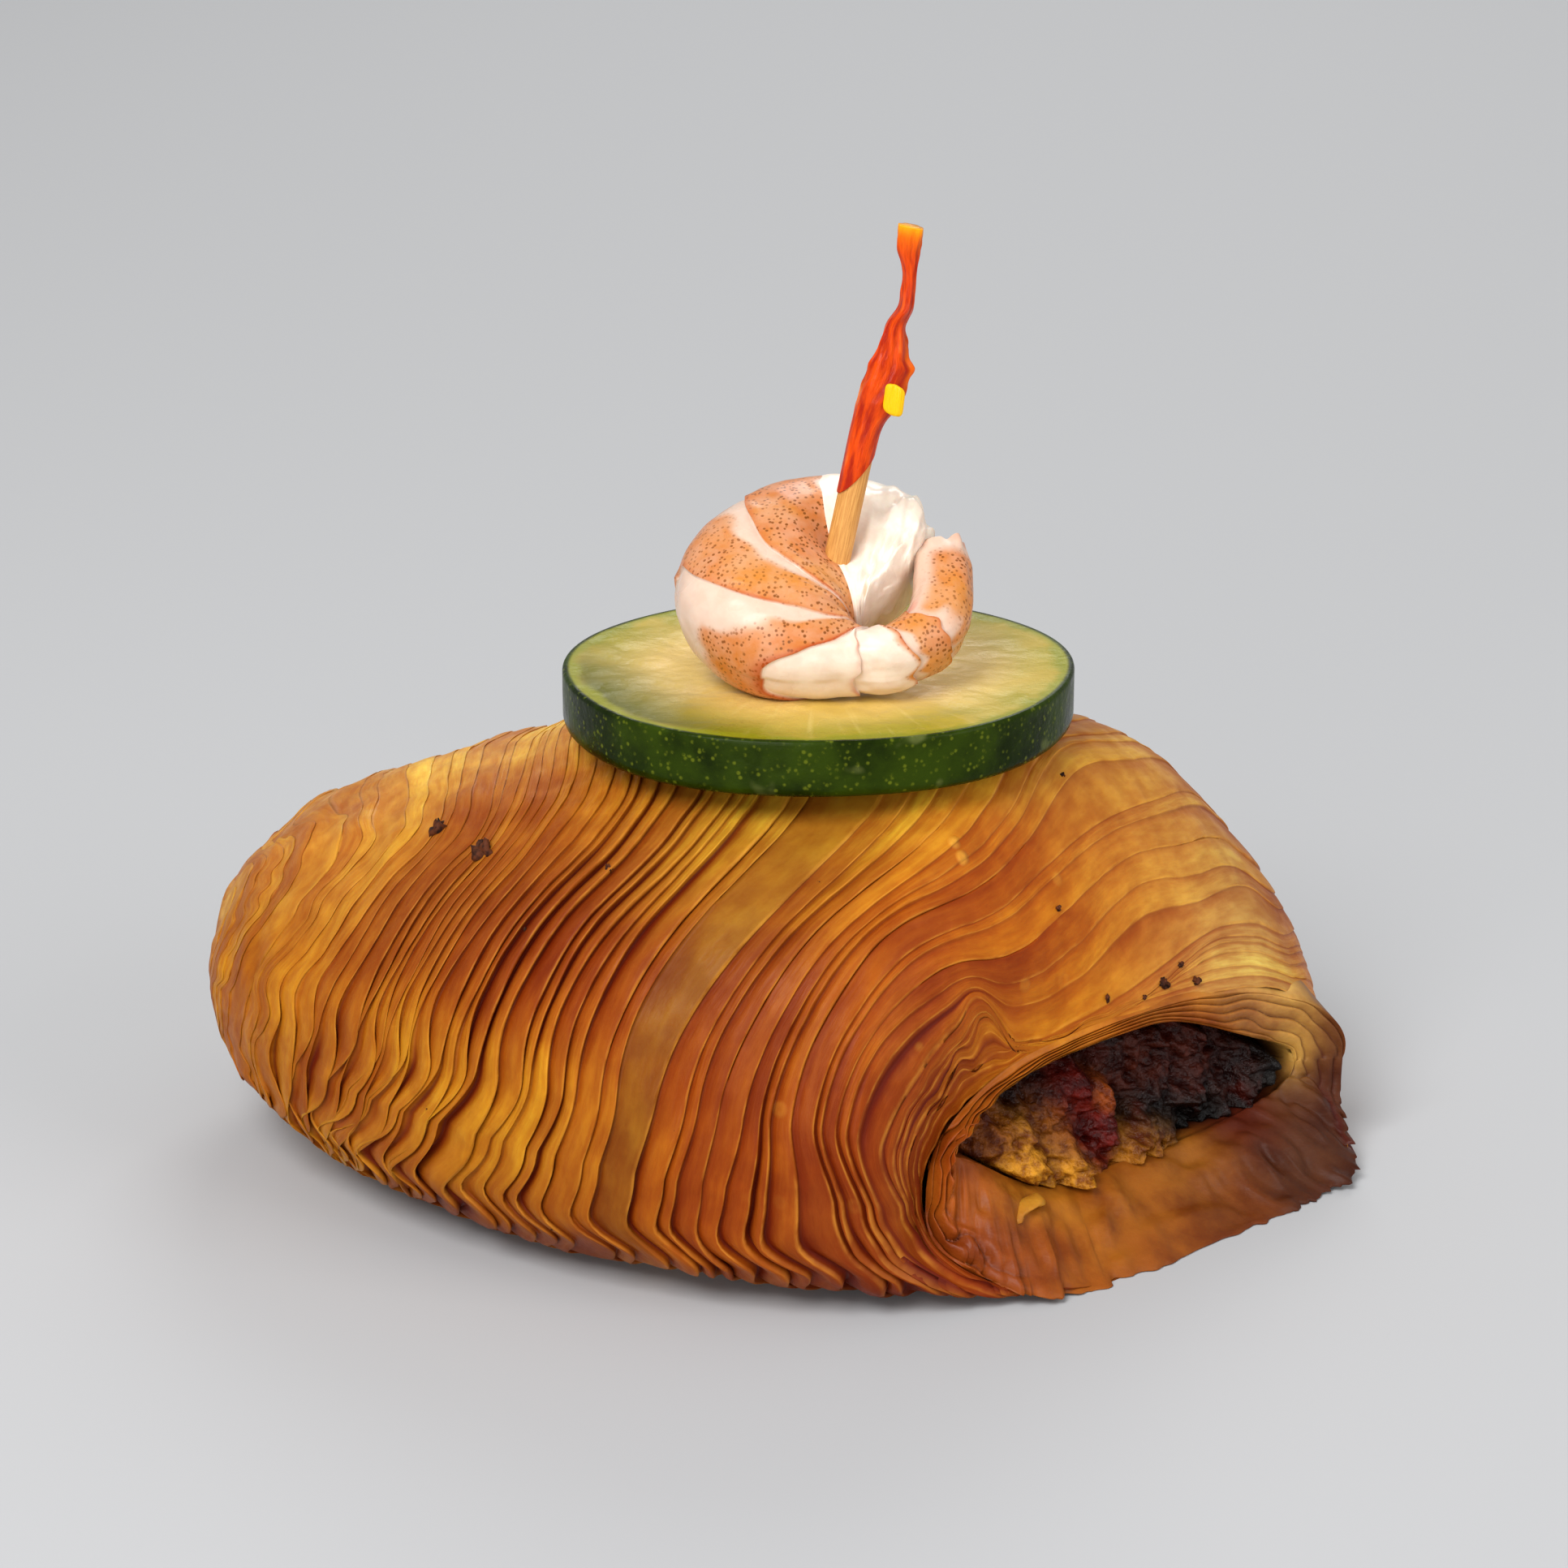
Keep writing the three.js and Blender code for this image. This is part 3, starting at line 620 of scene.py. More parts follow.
def crumbs(name, spots, material):
    """One mesh of small uneven lumps, each at a point with its half size."""
    vertices, faces = [], []
    down = np.linspace(0.12, math.pi - 0.12, CRUMB_ROWS)[:, None]
    about = full_turn(1, CRUMB_COLUMNS)
    for number, (middle, half) in enumerate(spots):
        size = half * (1 + 0.75 * waves(down * 1.9 + number * 7, about * 1.5 + number * 3, 91))
        lump = np.stack([size * np.sin(down) * np.cos(about), size * np.sin(down) * np.sin(about),
                         size * np.cos(down) * np.ones_like(about)], -1)
        first = len(vertices)
        vertices.extend((lump.reshape(-1, 3) + middle + placing) * MM)
        grid = np.arange(CRUMB_ROWS * CRUMB_COLUMNS).reshape(CRUMB_ROWS, CRUMB_COLUMNS) + first
        after = np.roll(grid, -1, axis=1)
        faces += np.stack([grid[:-1], grid[1:], after[1:], after[:-1]], -1).reshape(-1, 4).tolist()
        faces += [grid[0].tolist(), grid[-1][::-1].tolist()]
    mesh = bpy.data.meshes.new(name)
    mesh.from_pydata([tuple(v) for v in vertices], [], faces)
    mesh.shade_smooth()
    mesh.materials.append(material)
    piece = bpy.data.objects.new(name, mesh)
    bpy.context.collection.objects.link(piece)
    return piece


burnt_material, tree, shader = new_material("burnt_crumb")
char = grain(tree, add_node(tree, "ShaderNodeTexCoord").outputs["Object"], 1500, 3)
charred = rescaled(tree, char, 0.35, 0.65)
colour = blend_colours(tree, charred, (0.014, 0.004, 0.002), (0.09, 0.022, 0.006))
finish(tree, shader, colour, rescaled(tree, char, 0.3, 0.7, 0.85, 0.60), 0.15)
crumb_spots = [(pastry_point(np.array([at]), np.radians([around]), np.array([0.3 * half]))[0], half)
               for at, around, half in CRUMBS]
crumb_piece = crumbs("burnt_crumbs", crumb_spots, burnt_material)
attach(crumb_piece, "root")

# ---- Lower lip and inside of the mouth ----
# The innermost sheets of the same dough turn in at the mouth. The lower ones stick out as a
# broad smooth tongue and stand up in a flap at its right end; the walls inside are painted dark as
# shade.
LIP_ROUNDING = 1.2
WALL = 4.2
MOUTH_FLOOR = 5.5
CAVITY_DEPTH = 26
FLAP_OUT = 2.6  # how far the flap stands out beyond the shell


def cavity_point(k, angle, clearance):
    """The inside of the mouth, k from 0 at its opening to 1 at its end."""
    middle, width, across, ahead, heights = ring_frame(np.ones_like(k))
    narrow = np.sqrt(np.maximum(1 - k ** 4, 0.02))
    wall = WALL - 1.9 * smooth(-np.cos(angle) / 0.8)
    sideways = ((width - wall) * (1 - 0.3 * k) * narrow - clearance) * power(np.cos(angle), 0.7)
    floor = MOUTH_FLOOR + 1.5 * k + 4.5 * smooth((-sideways - 10) / 11)
    roof = heights[..., 1] - LIP_ROUNDING - 2 * k
    roof = roof - 4.6 * smooth((sideways - 1) / 18) - 1.5 * smooth((-sideways - 12) / 9)
    rise = ((roof - floor) / 2) * narrow - clearance
    inward = 0.5 - CAVITY_DEPTH * k
    plan = middle + across * sideways[..., None] + ahead * inward[..., None]
    height = (floor + roof) / 2 + rise * power(np.sin(angle), 0.8) - BASE_PRESS
    return np.concatenate([plan, height[..., None]], -1)


# even steps round the mouth's edge
fine_edge = pastry_point(np.ones_like(fine), fine, np.zeros_like(fine))
edge_length = run_length(fine_edge)
MOUTH_ROUND = 340
MOUTH_ANGLES = np.interp(np.arange(MOUTH_ROUND) / MOUTH_ROUND * edge_length[-1], edge_length, fine)
mouth_middle, _, mouth_across, mouth_ahead, _ = ring_frame(np.array([1.0]))
mouth_middle, mouth_across, mouth_ahead = mouth_middle[0], mouth_across[0], mouth_ahead[0]
LIP_ROWS = 72
DEEP_ROWS = 20
lip_angle = np.broadcast_to(MOUTH_ANGLES, (LIP_ROWS, MOUTH_ROUND))
reach_in = np.linspace(0, 1, LIP_ROWS)[:, None] * np.ones((1, MOUTH_ROUND))
under = np.maximum(smooth((-np.sin(lip_angle) + 0.1) / 0.4), smooth((np.cos(lip_angle) - 0.75) / 0.15))
start = pastry_point(0.987 - 0.012 * under, lip_angle, -0.95 + 0.55 * under)
rim = pastry_point(np.ones((LIP_ROWS, MOUTH_ROUND)), lip_angle, -0.2 + 0.45 * under)
opening = cavity_point(np.zeros((LIP_ROWS, MOUTH_ROUND)), lip_angle, 0.0)
early = smooth(reach_in / 0.12)[..., None]
late = smooth((reach_in - 0.08) / 0.92)[..., None]
lip_points = start * (1 - early) + (rim * (1 - late) + opening * late) * early
below = smooth((-np.sin(lip_angle) - 0.05) / 0.4)
hump = np.sin(np.pi * np.clip((reach_in - 0.1) / 0.9, 0, 1))
lip_degrees = np.degrees(lip_angle)
lip_points[..., 2] += below * hump * (0.7 + 1.0 * waves(reach_in * 3, lip_degrees / 12, 31))
lip_points[..., 2] += below * hump * 0.5 * waves(reach_in * 8, lip_degrees / 4, 32)
ripple = waves(lip_degrees / 3.2, reach_in * 1.5, 38) + 0.5 * waves(lip_degrees / 1.3, reach_in * 2, 39)
flap = FLAP_OUT * bell((lip_degrees + 180) % 360 - 186, 25)
edge_push = (below * 0.9 * ripple * (1 - 0.25 * flap) + flap) * early[..., 0] * (1 - late[..., 0])
lip_points[..., :2] += mouth_ahead * edge_push[..., None]

# the ends of the innermost sheets show as soft folds round the corner and along the upper lip
folds = reach_in * 6 + 0.55 * waves(lip_degrees / 11, reach_in * 3, 34)
fold_here = np.abs(np.sin(np.pi * folds)) ** 0.7
turned_in = smooth((reach_in - 0.02) / 0.1)
folded = (1 - below) * turned_in * smooth((1.0 - reach_in) / 0.06)
folded = np.maximum(folded, turned_in * smooth((0.5 - reach_in) / 0.2) * bell(lip_degrees - 200, 24))
corner_here = bell(lip_degrees - 170, 45)
push_out = folded * (fold_here - 0.4) * (0.35 + 1.15 * corner_here)
push_out += 1.3 * corner_here * hump * (1 - below)
push_out += folded * corner_here * 0.6 * waves(lip_degrees / 6, reach_in * 5, 40)
lip_points[..., :2] += mouth_ahead * push_out[..., None]
lip_points[..., 2] += folded * 0.35 * (fold_here - 0.5) * (1 + 1.3 * corner_here)

# a crease runs out over the tongue's right end
side_of = (lip_points[..., :2] - mouth_middle) @ mouth_across
crease_line = bell(side_of - 21.5 - 1.5 * reach_in, 0.55) * below
lip_points[..., 2] -= 0.9 * crease_line * hump
depth = np.linspace(0.02, 1, DEEP_ROWS)[:, None] * np.ones((1, MOUTH_ROUND))
deep_angle = np.broadcast_to(MOUTH_ANGLES, depth.shape)
deep_points = cavity_point(depth, deep_angle, 0.0)
deep_points[..., 2] += 0.4 * waves(depth * 9, np.degrees(deep_angle) / 18, 33) * smooth(depth * 6)

# Colours by place: across the mouth, share of the way in from the edge, height above the table,
# colour. The tongue is orange-brown, brown at its right end; the upper lip is golden.
LIP_COLOURS = [
    (-22, 0.5, 3, (0.20, 0.036, 0.004)),
    (-14, 0.4, 2, (0.27, 0.070, 0.006)),
    (-16, 0.9, 5, (0.28, 0.090, 0.008)),
    # a dimmed painted highlight on the tongue left of the middle
    (-9, 0.6, 3, (0.27, 0.082, 0.007)),
    (-4, 0.3, 1, (0.19, 0.045, 0.005)),
    (-3, 0.7, 4, (0.20, 0.052, 0.005)),
    (4, 0.95, 5, (0.20, 0.060, 0.006)),
    (6, 0.4, 2, (0.14, 0.034, 0.005)),
    (12, 0.9, 5, (0.060, 0.007, 0.003)),
    (14, 0.4, 2, (0.058, 0.015, 0.005)),
    (19, 0.6, 4, (0.050, 0.012, 0.005)),
    (23, 0.4, 6, (0.075, 0.020, 0.006)),
    (-24, 0.5, 11, (0.30, 0.062, 0.005)),
    (-20, 0.9, 11, (0.26, 0.056, 0.005)),
    (-15, 0.5, 17, (0.34, 0.095, 0.008)),
    (-5, 0.5, 18, (0.42, 0.140, 0.010)),
    (6, 0.4, 18, (0.40, 0.150, 0.020)),
    (8, 0.8, 15, (0.34, 0.100, 0.012)),
    (15, 0.4, 16, (0.50, 0.260, 0.070)),
    (19, 0.7, 12, (0.40, 0.190, 0.045)),
    (23, 0.3, 10, (0.13, 0.042, 0.013)),
]

lip_material, tree, shader = new_material("moist_dough")
tone = attribute(tree, "tone", "Color")
where = add_node(tree, "ShaderNodeTexCoord").outputs["Object"]
mottle = grain(tree, where, 180, 5, 0.6)
fibres = grain(tree, where, 420, 4, 0.6, (1, 1, 2.5))
patches = grain(tree, where, 75, 2)
colour = shaded(tree, tone, mottle, 0.3, 0.7, (0.66, 0.52, 0.48), (1.25, 1.34, 1.3))
colour = shaded(tree, colour, patches, 0.36, 0.66, (0.78, 0.62, 0.60), (1.18, 1.28, 1.1))
relief = maths(tree, "ADD", maths(tree, "MULTIPLY", mottle, 0.7), maths(tree, "MULTIPLY", fibres, 0.35))
finish(tree, shader, colour, rescaled(tree, mottle, 0.3, 0.7, 0.34, 0.50), 0.16,
       (relief, 0.5, 0.0005), DOUGH_GLOW)

all_points = np.vstack([lip_points, deep_points])
how_deep = np.vstack([np.zeros_like(reach_in), depth])
way_in = np.vstack([reach_in, np.ones_like(depth)])
place_across = (all_points[..., :2] - mouth_middle) @ mouth_across
total = 1e-9
lip_tone = 0
for side, share_in, level, shade in LIP_COLOURS:
    near = (place_across - side) ** 2 / 16 + (way_in - share_in) ** 2 / 0.12
    near = near + (all_points[..., 2] - level) ** 2 / 9
    weight = np.exp(-near)[..., None] + 1e-12
    total = total + weight
    lip_tone = lip_tone + weight * np.array(shade)
lip_tone = lip_tone / total
fold_shade = folded * (1 - smooth(fold_here / 0.55)) * 0.75 + crease_line * 0.85
fold_shade = np.vstack([fold_shade, 0 * depth])[..., None]
lip_tone = lip_tone * (1 - fold_shade) + np.array((0.06, 0.006, 0.003)) * fold_shade
# a slit in the upper lip, painted as a dark line of shade with no cut in the mesh
slit_shade = bell(all_points[..., 2] - 15.6 + 0.12 * (place_across - 4), 0.45) * bell(place_across - 6, 5.5)
slit_shade = (slit_shade * bell(way_in - 0.45, 0.3))[..., None] * 0.85
lip_tone = lip_tone * (1 - slit_shade) + np.array((0.05, 0.008, 0.004)) * slit_shade
# painted shade: the walls deeper inside the mouth are painted near black
dark = smooth(how_deep / 0.10)[..., None]
lip_tone = lip_tone * (1 - dark) + np.array((0.018, 0.003, 0.002)) * dark
mouth = skin("mouth_lip", all_points, lip_material, round_off=(False, True), colours={"tone": lip_tone})
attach(mouth, "root")
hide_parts("pastry_shell")

# ---- Dough flake ----
# A thin golden flake of the same dough that came loose in baking and stands up on the tongue,
# stuck to it along its foot.
FLAKE_ROWS, FLAKE_COLUMNS = 14, 24
# the flake's middle across the mouth, ahead of it and above the table, and its half length
FLAKE_SIDE, FLAKE_AHEAD, FLAKE_LEVEL, FLAKE_HALF = -15.0, 3.4, 5.9, 2.6
flake_turn = full_turn(FLAKE_ROWS, FLAKE_COLUMNS)
flake_u = np.linspace(-1, 1, FLAKE_ROWS)[:, None] * np.ones_like(flake_turn)
flake_wide = np.maximum(1 - np.abs(flake_u) ** 3, 0.03) ** 0.6
flake_wide *= 1 + 0.25 * waves(flake_u * 3, flake_turn, 92)
flake_side = FLAKE_SIDE + FLAKE_HALF * flake_u + 0.3 * np.sin(flake_u * 4)
flake_ahead = FLAKE_AHEAD + 1.0 * flake_wide * np.cos(flake_turn) - 0.8 * flake_u
flake_level = FLAKE_LEVEL + 0.25 * flake_u + 0.3 * np.cos(flake_u * 2.5)
flake_level += 0.4 * flake_wide * np.sin(flake_turn)
flake_plan = mouth_middle + mouth_across * flake_side[..., None] + mouth_ahead * flake_ahead[..., None]
flake_points = np.concatenate([flake_plan, flake_level[..., None]], -1)
flake_tone = np.ones((*flake_u.shape, 1)) * np.array((0.40, 0.160, 0.016))
flake = skin("dough_flake", flake_points[:, ::-1], lip_material, colours={"tone": flake_tone})
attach(flake, "root")

# ---- Filling ----
# Moist filling pushed far into the shell: golden soft lumps at the left, red-brown chunks in the
# middle, and pieces charred black at the right, all glossy with juice.
GOLD, RED = (0.40, 0.145, 0.010), (0.080, 0.003, 0.002)
DARK, BLACK = (0.018, 0.003, 0.002), (0.003, 0.002, 0.002)
# place across the mouth and height above the table, reach, how far it bulges ahead, colour
MASSES = [
    (-13.5, 7.0, 5.5, 4.2, GOLD),
    (-19.0, 10.5, 3.0, 0.5, (0.10, 0.016, 0.003)),
    (-16.0, 11.5, 3.0, 1.0, (0.13, 0.028, 0.004)),
    (-9.0, 10.5, 3.2, 1.6, (0.13, 0.030, 0.004)),
    (-6.0, 12.5, 3.0, 2.4, RED),
    (-4.5, 8.5, 3.2, 2.8, RED),
    (-2.2, 12.0, 1.6, 3.4, (0.20, 0.035, 0.004)),
    (-8.0, 6.0, 3.0, 4.6, (0.36, 0.130, 0.010)),
    (1.5, 6.2, 3.0, 3.4, (0.24, 0.075, 0.006)),
    (3.0, 8.8, 3.6, 2.0, BLACK),
    (2.0, 13.0, 4.0, 0.6, (0.045, 0.006, 0.003)),
    (8.5, 8.0, 3.2, 2.2, BLACK),
    (8.0, 12.0, 4.0, 0.4, (0.035, 0.005, 0.003)),
    (13.0, 10.0, 3.0, 0.2, DARK),
    (17.0, 8.0, 3.2, 3.6, BLACK),
    (-10.0, 15.5, 4.0, -1.5, DARK),
    (0.0, 16.5, 5.0, -2.0, DARK),
]


def filling_front(side, level):
    """How far the filling's face stands ahead, and its colour, at a place in the mouth."""
    total, ahead, strong, shade = 1e-9, 0, 0, 0
    for at_side, at_level, reach, bulge, colour in MASSES:
        near = ((side - at_side) ** 2 + (level - at_level) ** 2 * 1.3) / reach ** 2
        weight = np.exp(-1.6 * near) + 1e-7
        total = total + weight
        ahead = ahead + weight * bulge
        strong = strong + weight ** 1.5
        shade = shade + (weight ** 1.5)[..., None] * np.array(colour)
    return ahead / total, shade / strong[..., None]


filling_material, tree, shader = new_material("cooked_filling")
where = add_node(tree, "ShaderNodeTexCoord").outputs["Object"]
mottle = grain(tree, where, 650, 5, 0.65)
blotch = grain(tree, where, 240, 3)
tone = attribute(tree, "tone", "Color")
colour = shaded(tree, tone, mottle, 0.35, 0.68, (0.45, 0.30, 0.3), (1.7, 2.0, 1.6))
colour = blend_colours(tree, rescaled(tree, blotch, 0.56, 0.68, 0.0, 0.5), colour, (0.06, 0.006, 0.003))
relief = maths(tree, "ADD", mottle, maths(tree, "MULTIPLY", blotch, 0.8))
finish(tree, shader, colour, rescaled(tree, mottle, 0.35, 0.65, 0.12, 0.36), 0.18, (relief, 0.9, 0.0008))

FACE_ROWS = 90
# where the filling's face lies, as a share of the way in, and its clearance from the walls there
FACE_IN, FACE_CLEAR, BODY_CLEAR = 0.12, 0.15, 0.3
back_k = np.array([0.9, 0.8, 0.65, 0.5, 0.38, 0.30, 0.24, 0.20])[:, None] * np.ones((1, MOUTH_ROUND))
back_points = cavity_point(back_k, np.broadcast_to(MOUTH_ANGLES, back_k.shape), BODY_CLEAR)
face_angle = np.broadcast_to(MOUTH_ANGLES, (FACE_ROWS, MOUTH_ROUND))
outline = cavity_point(np.full(face_angle.shape, FACE_IN), face_angle, FACE_CLEAR)
outline[..., 2] -= 0.7 * smooth(-np.sin(MOUTH_ANGLES) / 0.5)
inward = (np.linspace(1, 0.01, FACE_ROWS) ** 0.8)[:, None, None]
face = outline.mean(1, keepdims=True) * (1 - inward) + outline * inward
side = (face[..., :2] - mouth_middle) @ mouth_across
level = face[..., 2] + BASE_PRESS
ahead, filling_tone = filling_front(side, level)
rough = 1.3 * waves(side / 2.4, level / 2.2, 35) + 0.8 * waves(side / 1.1, level / 1.0, 36)
rough = rough + 0.4 * waves(side / 0.5, level / 0.5, 37)
ahead = (ahead + rough) * smooth((1 - inward[..., 0]) / 0.08)
face[..., :2] += mouth_ahead * ahead[..., None]
back_tone = np.ones((*back_k.shape, 1)) * np.array(DARK)
stuffing = skin("filling_mass", np.vstack([back_points, face]), filling_material,
                colours={"tone": np.vstack([back_tone, filling_tone])})
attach(stuffing, "root")
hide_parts("filling")

# ---- Zucchini slice ----
# One raw slice across the vegetable: thin dark green skin with pale freckles, a yellow-green line
# under it, and creamy flesh, wet on top, with faint seeds round the middle.
SLICE_RADIUS = np.array([22.2, 20.5])
slice_foot = slice_low.z / MM
slice_top = slice_high.z / MM
SLICE_COLUMNS = 200
edge_round = 0.4
# inset from the skin and height, from the middle of the top down round the edge
across_top = [(inset, slice_top) for inset in np.linspace(20.4, 0.9, 44)]
shoulder = [(edge_round * (1 - math.sin(a)), slice_top - edge_round * (1 - math.cos(a)))
            for a in np.linspace(0.2, math.pi / 2, 5)]
side_wall = [(0.0, z) for z in np.linspace(slice_top - 0.8, slice_foot + 0.8, 12)]
foot = [(0.12, slice_foot + 0.3), (0.4, slice_foot), (2.0, slice_foot), (19.0, slice_foot)]
outline = np.array(across_top + shoulder + side_wall + foot)
inset = outline[:, 0][:, None] * np.ones((1, SLICE_COLUMNS))
level = outline[:, 1][:, None] * np.ones((1, SLICE_COLUMNS))
round_angle = full_turn(len(outline), SLICE_COLUMNS)
uneven = 1 + 0.012 * np.sin(2 * round_angle + 0.6) + 0.008 * np.sin(5 * round_angle)
spread = np.maximum(SLICE_RADIUS * uneven[..., None] - inset[..., None], 0.4)
slice_x = SLICE_MIDDLE[0] + spread[..., 0] * np.cos(round_angle)
slice_y = SLICE_MIDDLE[1] + spread[..., 1] * np.sin(round_angle)
on_top = np.where(level > slice_top - 0.02, 1.0, 0.0) * smooth(inset / 1.5)
wet = 0.10 * waves(slice_x / 2.6, slice_y / 2.6, 41) - 0.12
wet += 0.05 * waves(slice_x / 0.9, slice_y / 0.9, 42)
level = level + on_top * wet
slice_points = np.stack([slice_x, slice_y, level], -1)[:, ::-1]

zucchini_material, tree, shader = new_material("zucchini")
depth_in = attribute(tree, "inset")
where = add_node(tree, "ShaderNodeTexCoord").outputs["Object"]
cloud = grain(tree, where, 160, 4)
fine_grain = grain(tree, where, 900, 4, 0.6)
polar_place = attribute(tree, "polar", "Vector")
spokes = grain(tree, polar_place, 1.0, 3, 0.5, (7, 0.25, 1))
wobble = maths(tree, "ADD", depth_in, rescaled(tree, cloud, 0.3, 0.7, -0.5, 0.5))
flesh = blend_colours(tree, rescaled(tree, wobble, 1.2, 9.0), (0.33, 0.28, 0.018), (0.68, 0.47, 0.130))
flesh = blend_colours(tree, rescaled(tree, cloud, 0.42, 0.66, 0.0, 0.55), flesh, (0.52, 0.35, 0.050))
flesh = blend_colours(tree, rescaled(tree, spokes, 0.54, 0.72, 0.0, 0.28), flesh, (0.74, 0.58, 0.20))
flesh = blend_colours(tree, attribute(tree, "shade_side"), flesh, (0.10, 0.100, 0.006))
seed = maths(tree, "MULTIPLY", dots(tree, polar_place, 1.0, 0.12, 0.30), 0.3)
seed = maths(tree, "MULTIPLY", seed, rescaled(tree, depth_in, 8.0, 10.0))
seed = maths(tree, "MULTIPLY", seed, rescaled(tree, depth_in, 17.0, 15.0))
flesh = blend_colours(tree, seed, flesh, (0.74, 0.52, 0.12))
pepper = dots(tree, where, 330, 0.05, 0.09, 0.12)
flesh = blend_colours(tree, pepper, flesh, (0.03, 0.02, 0.01))
rim = blend_colours(tree, rescaled(tree, wobble, 0.9, 2.0), (0.24, 0.24, 0.008), flesh)
freckle = dots(tree, where, 1800, 0.16, 0.44, 0.8)
freckle = maths(tree, "MULTIPLY", freckle, rescaled(tree, fine_grain, 0.42, 0.60, 0.0, 0.7))
cloudy = rescaled(tree, cloud, 0.36, 0.66)
peel = blend_colours(tree, cloudy, (0.006, 0.012, 0.0005), (0.022, 0.040, 0.001))
peel = blend_colours(tree, freckle, peel, (0.12, 0.145, 0.008))
scars = grain(tree, where, 210, 2)
peel = blend_colours(tree, rescaled(tree, scars, 0.66, 0.74, 0.0, 0.4), peel, (0.16, 0.18, 0.05))
peel = blend_colours(tree, attribute(tree, "scar"), peel, (0.025, 0.012, 0.004))
colour = blend_colours(tree, rescaled(tree, depth_in, 0.35, 0.75), peel, rim)
relief = maths(tree, "ADD", cloud, maths(tree, "MULTIPLY", fine_grain, 0.5))
finish(tree, shader, colour, rescaled(tree, cloud, 0.35, 0.65, 0.20, 0.36), 0.06,
       (relief, 0.35, 0.0005), (0.10, (1.0, 0.9, 0.3), 0.0015))

toward_left_back = smooth((-(slice_x - 3) * 0.75 + (slice_y - 1) * 0.55 - 9) / 10) * smooth(inset / 2)
polar = np.stack([round_angle * 3.2, (22 - inset) / 2.4, 0 * inset], -1)
# a small brown scar on the skin at the front
scar = bell(slice_x - 11.0, 0.8) * bell(level - slice_foot - 1.9, 0.7)
scar *= smooth((0.4 - inset) / 0.2) * (slice_y < 0)
zucchini = skin(
    "zucchini_round", slice_points, zucchini_material,
    masks={"inset": inset, "shade_side": toward_left_back, "scar": scar},
    colours={"polar": polar},
)
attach(zucchini, "root")
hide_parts("zucchini_slice")

# ---- Prawn ----
# A cooked, peeled tail curled on its side and leaning back round a small hole: white meat at the
# cut head end, then segments that lap over each other in a swirl, freckled orange with smooth
# white bands between, and the narrow last segment standing up at the right.
PRAWN_MIDDLE = np.array([6.7, -5.3, 51.0])
PRAWN_TILT = math.radians(28)
PRAWN_RIGHT = np.array([1.0, 0, 0])
PRAWN_BACK = np.array([0, math.cos(PRAWN_TILT), math.sin(PRAWN_TILT)])
PRAWN_ACROSS = np.cross(PRAWN_RIGHT, PRAWN_BACK)
# place along the body, turn round the curl in degrees, distance from the hole, half sizes in and
# across the curl's plane, and shift across it
BODY = np.array([
    (0.00, 53, 7.2, 1.9, 2.2, 0.2),
    (0.03, 58, 7.5, 4.5, 3.8, 0.2),
    (0.08, 68, 7.8, 6.7, 5.0, 0.1),
    (0.15, 87, 8.6, 8.0, 5.5, 0.0),
    (0.30, 120, 8.9, 8.3, 5.7, 0.0),
    (0.46, 165, 8.35, 7.75, 5.7, 0.0),
    (0.60, 205, 5.8, 5.1, 4.6, 0.0),
    (0.71, 258, 3.2, 2.3, 3.0, 0.0),
    (0.79, 317, 4.2, 2.6, 2.8, 0.0),
    (0.86, 358, 6.2, 2.6, 2.7, 0.0),
    (0.94, 394, 8.8, 2.3, 2.2, 0.4),
    (1.00, 413, 11.5, 2.1, 1.4, 0.9),
])
# where each segment ends along the body, how far that edge slants across the flank, the share of
# the segment that stays white on the flank, and how much that share grows to the back
SEGMENTS = [
    (0.245, 0.035, 1.2, 0.0),
    (0.400, 0.095, -0.1, 0.0),
    (0.580, 0.150, 0.08, 0.14),
    (0.702, 0.078, 0.24, 0.30),
    (0.722, -0.006, 1.2, 0.0),
    (0.790, 0.000, 0.84, 0.0),
    (0.846, 0.000, 0.12, 0.0),
    (1.000, 0.000, 0.02, 0.0),
]
PRAWN_COLUMNS = 120
in_segment = np.concatenate([np.linspace(0, 0.975, 42), [0.985, 0.995, 1.0]])


def prawn_middle(s):
    """The middle of the body at s along it, and its row of sizes there."""
    body = curve(BODY[:, 0], BODY[:, 1:], np.clip(s, 0, 1))
    turn = np.radians(body[..., 0])
    reach, out = body[..., 1, None], body[..., 4, None]
    plan = PRAWN_RIGHT * np.cos(turn)[..., None] + PRAWN_BACK * np.sin(turn)[..., None]
    return PRAWN_MIDDLE + plan * reach + PRAWN_ACROSS * out, body


column_angle = -full_turn(1, PRAWN_COLUMNS)[0]
segment_end = 0.012 * (1 + np.cos(column_angle))
parts = []
for number, (end, slant, white, white_back) in enumerate(SEGMENTS):
    segment_start = segment_end
    segment_end = end - slant * np.cos(column_angle)
    segment_end += 0.007 * waves(np.cos(column_angle) * 3 + number * 5, np.sin(column_angle) * 3, 57)
    segment_end = np.maximum(segment_end, segment_start + 0.004)
    along = in_segment[:, None] * np.ones((1, PRAWN_COLUMNS))
    parts.append(np.stack([
        segment_start + along * (segment_end - segment_start),
        along,
        white + white_back * np.cos(column_angle) + 0 * along,
        number + 0 * along,
    ], -1))
body_at, along, white, number = np.moveaxis(np.concatenate(parts), -1, 0)
body_angle = column_angle[None] * np.ones_like(body_at)
cosine, sine = np.cos(body_angle), np.sin(body_angle)
spine, body = prawn_middle(body_at)
heading = prawn_middle(body_at + 0.01)[0] - prawn_middle(body_at - 0.01)[0]
heading /= np.linalg.norm(heading, axis=-1, keepdims=True)
outward = np.cross(heading, PRAWN_ACROSS)
outward /= np.linalg.norm(outward, axis=-1, keepdims=True)
turned = np.radians(body[..., 0])[..., None]
to_tail = smooth((body_at - 0.80) / 0.08)[..., None]
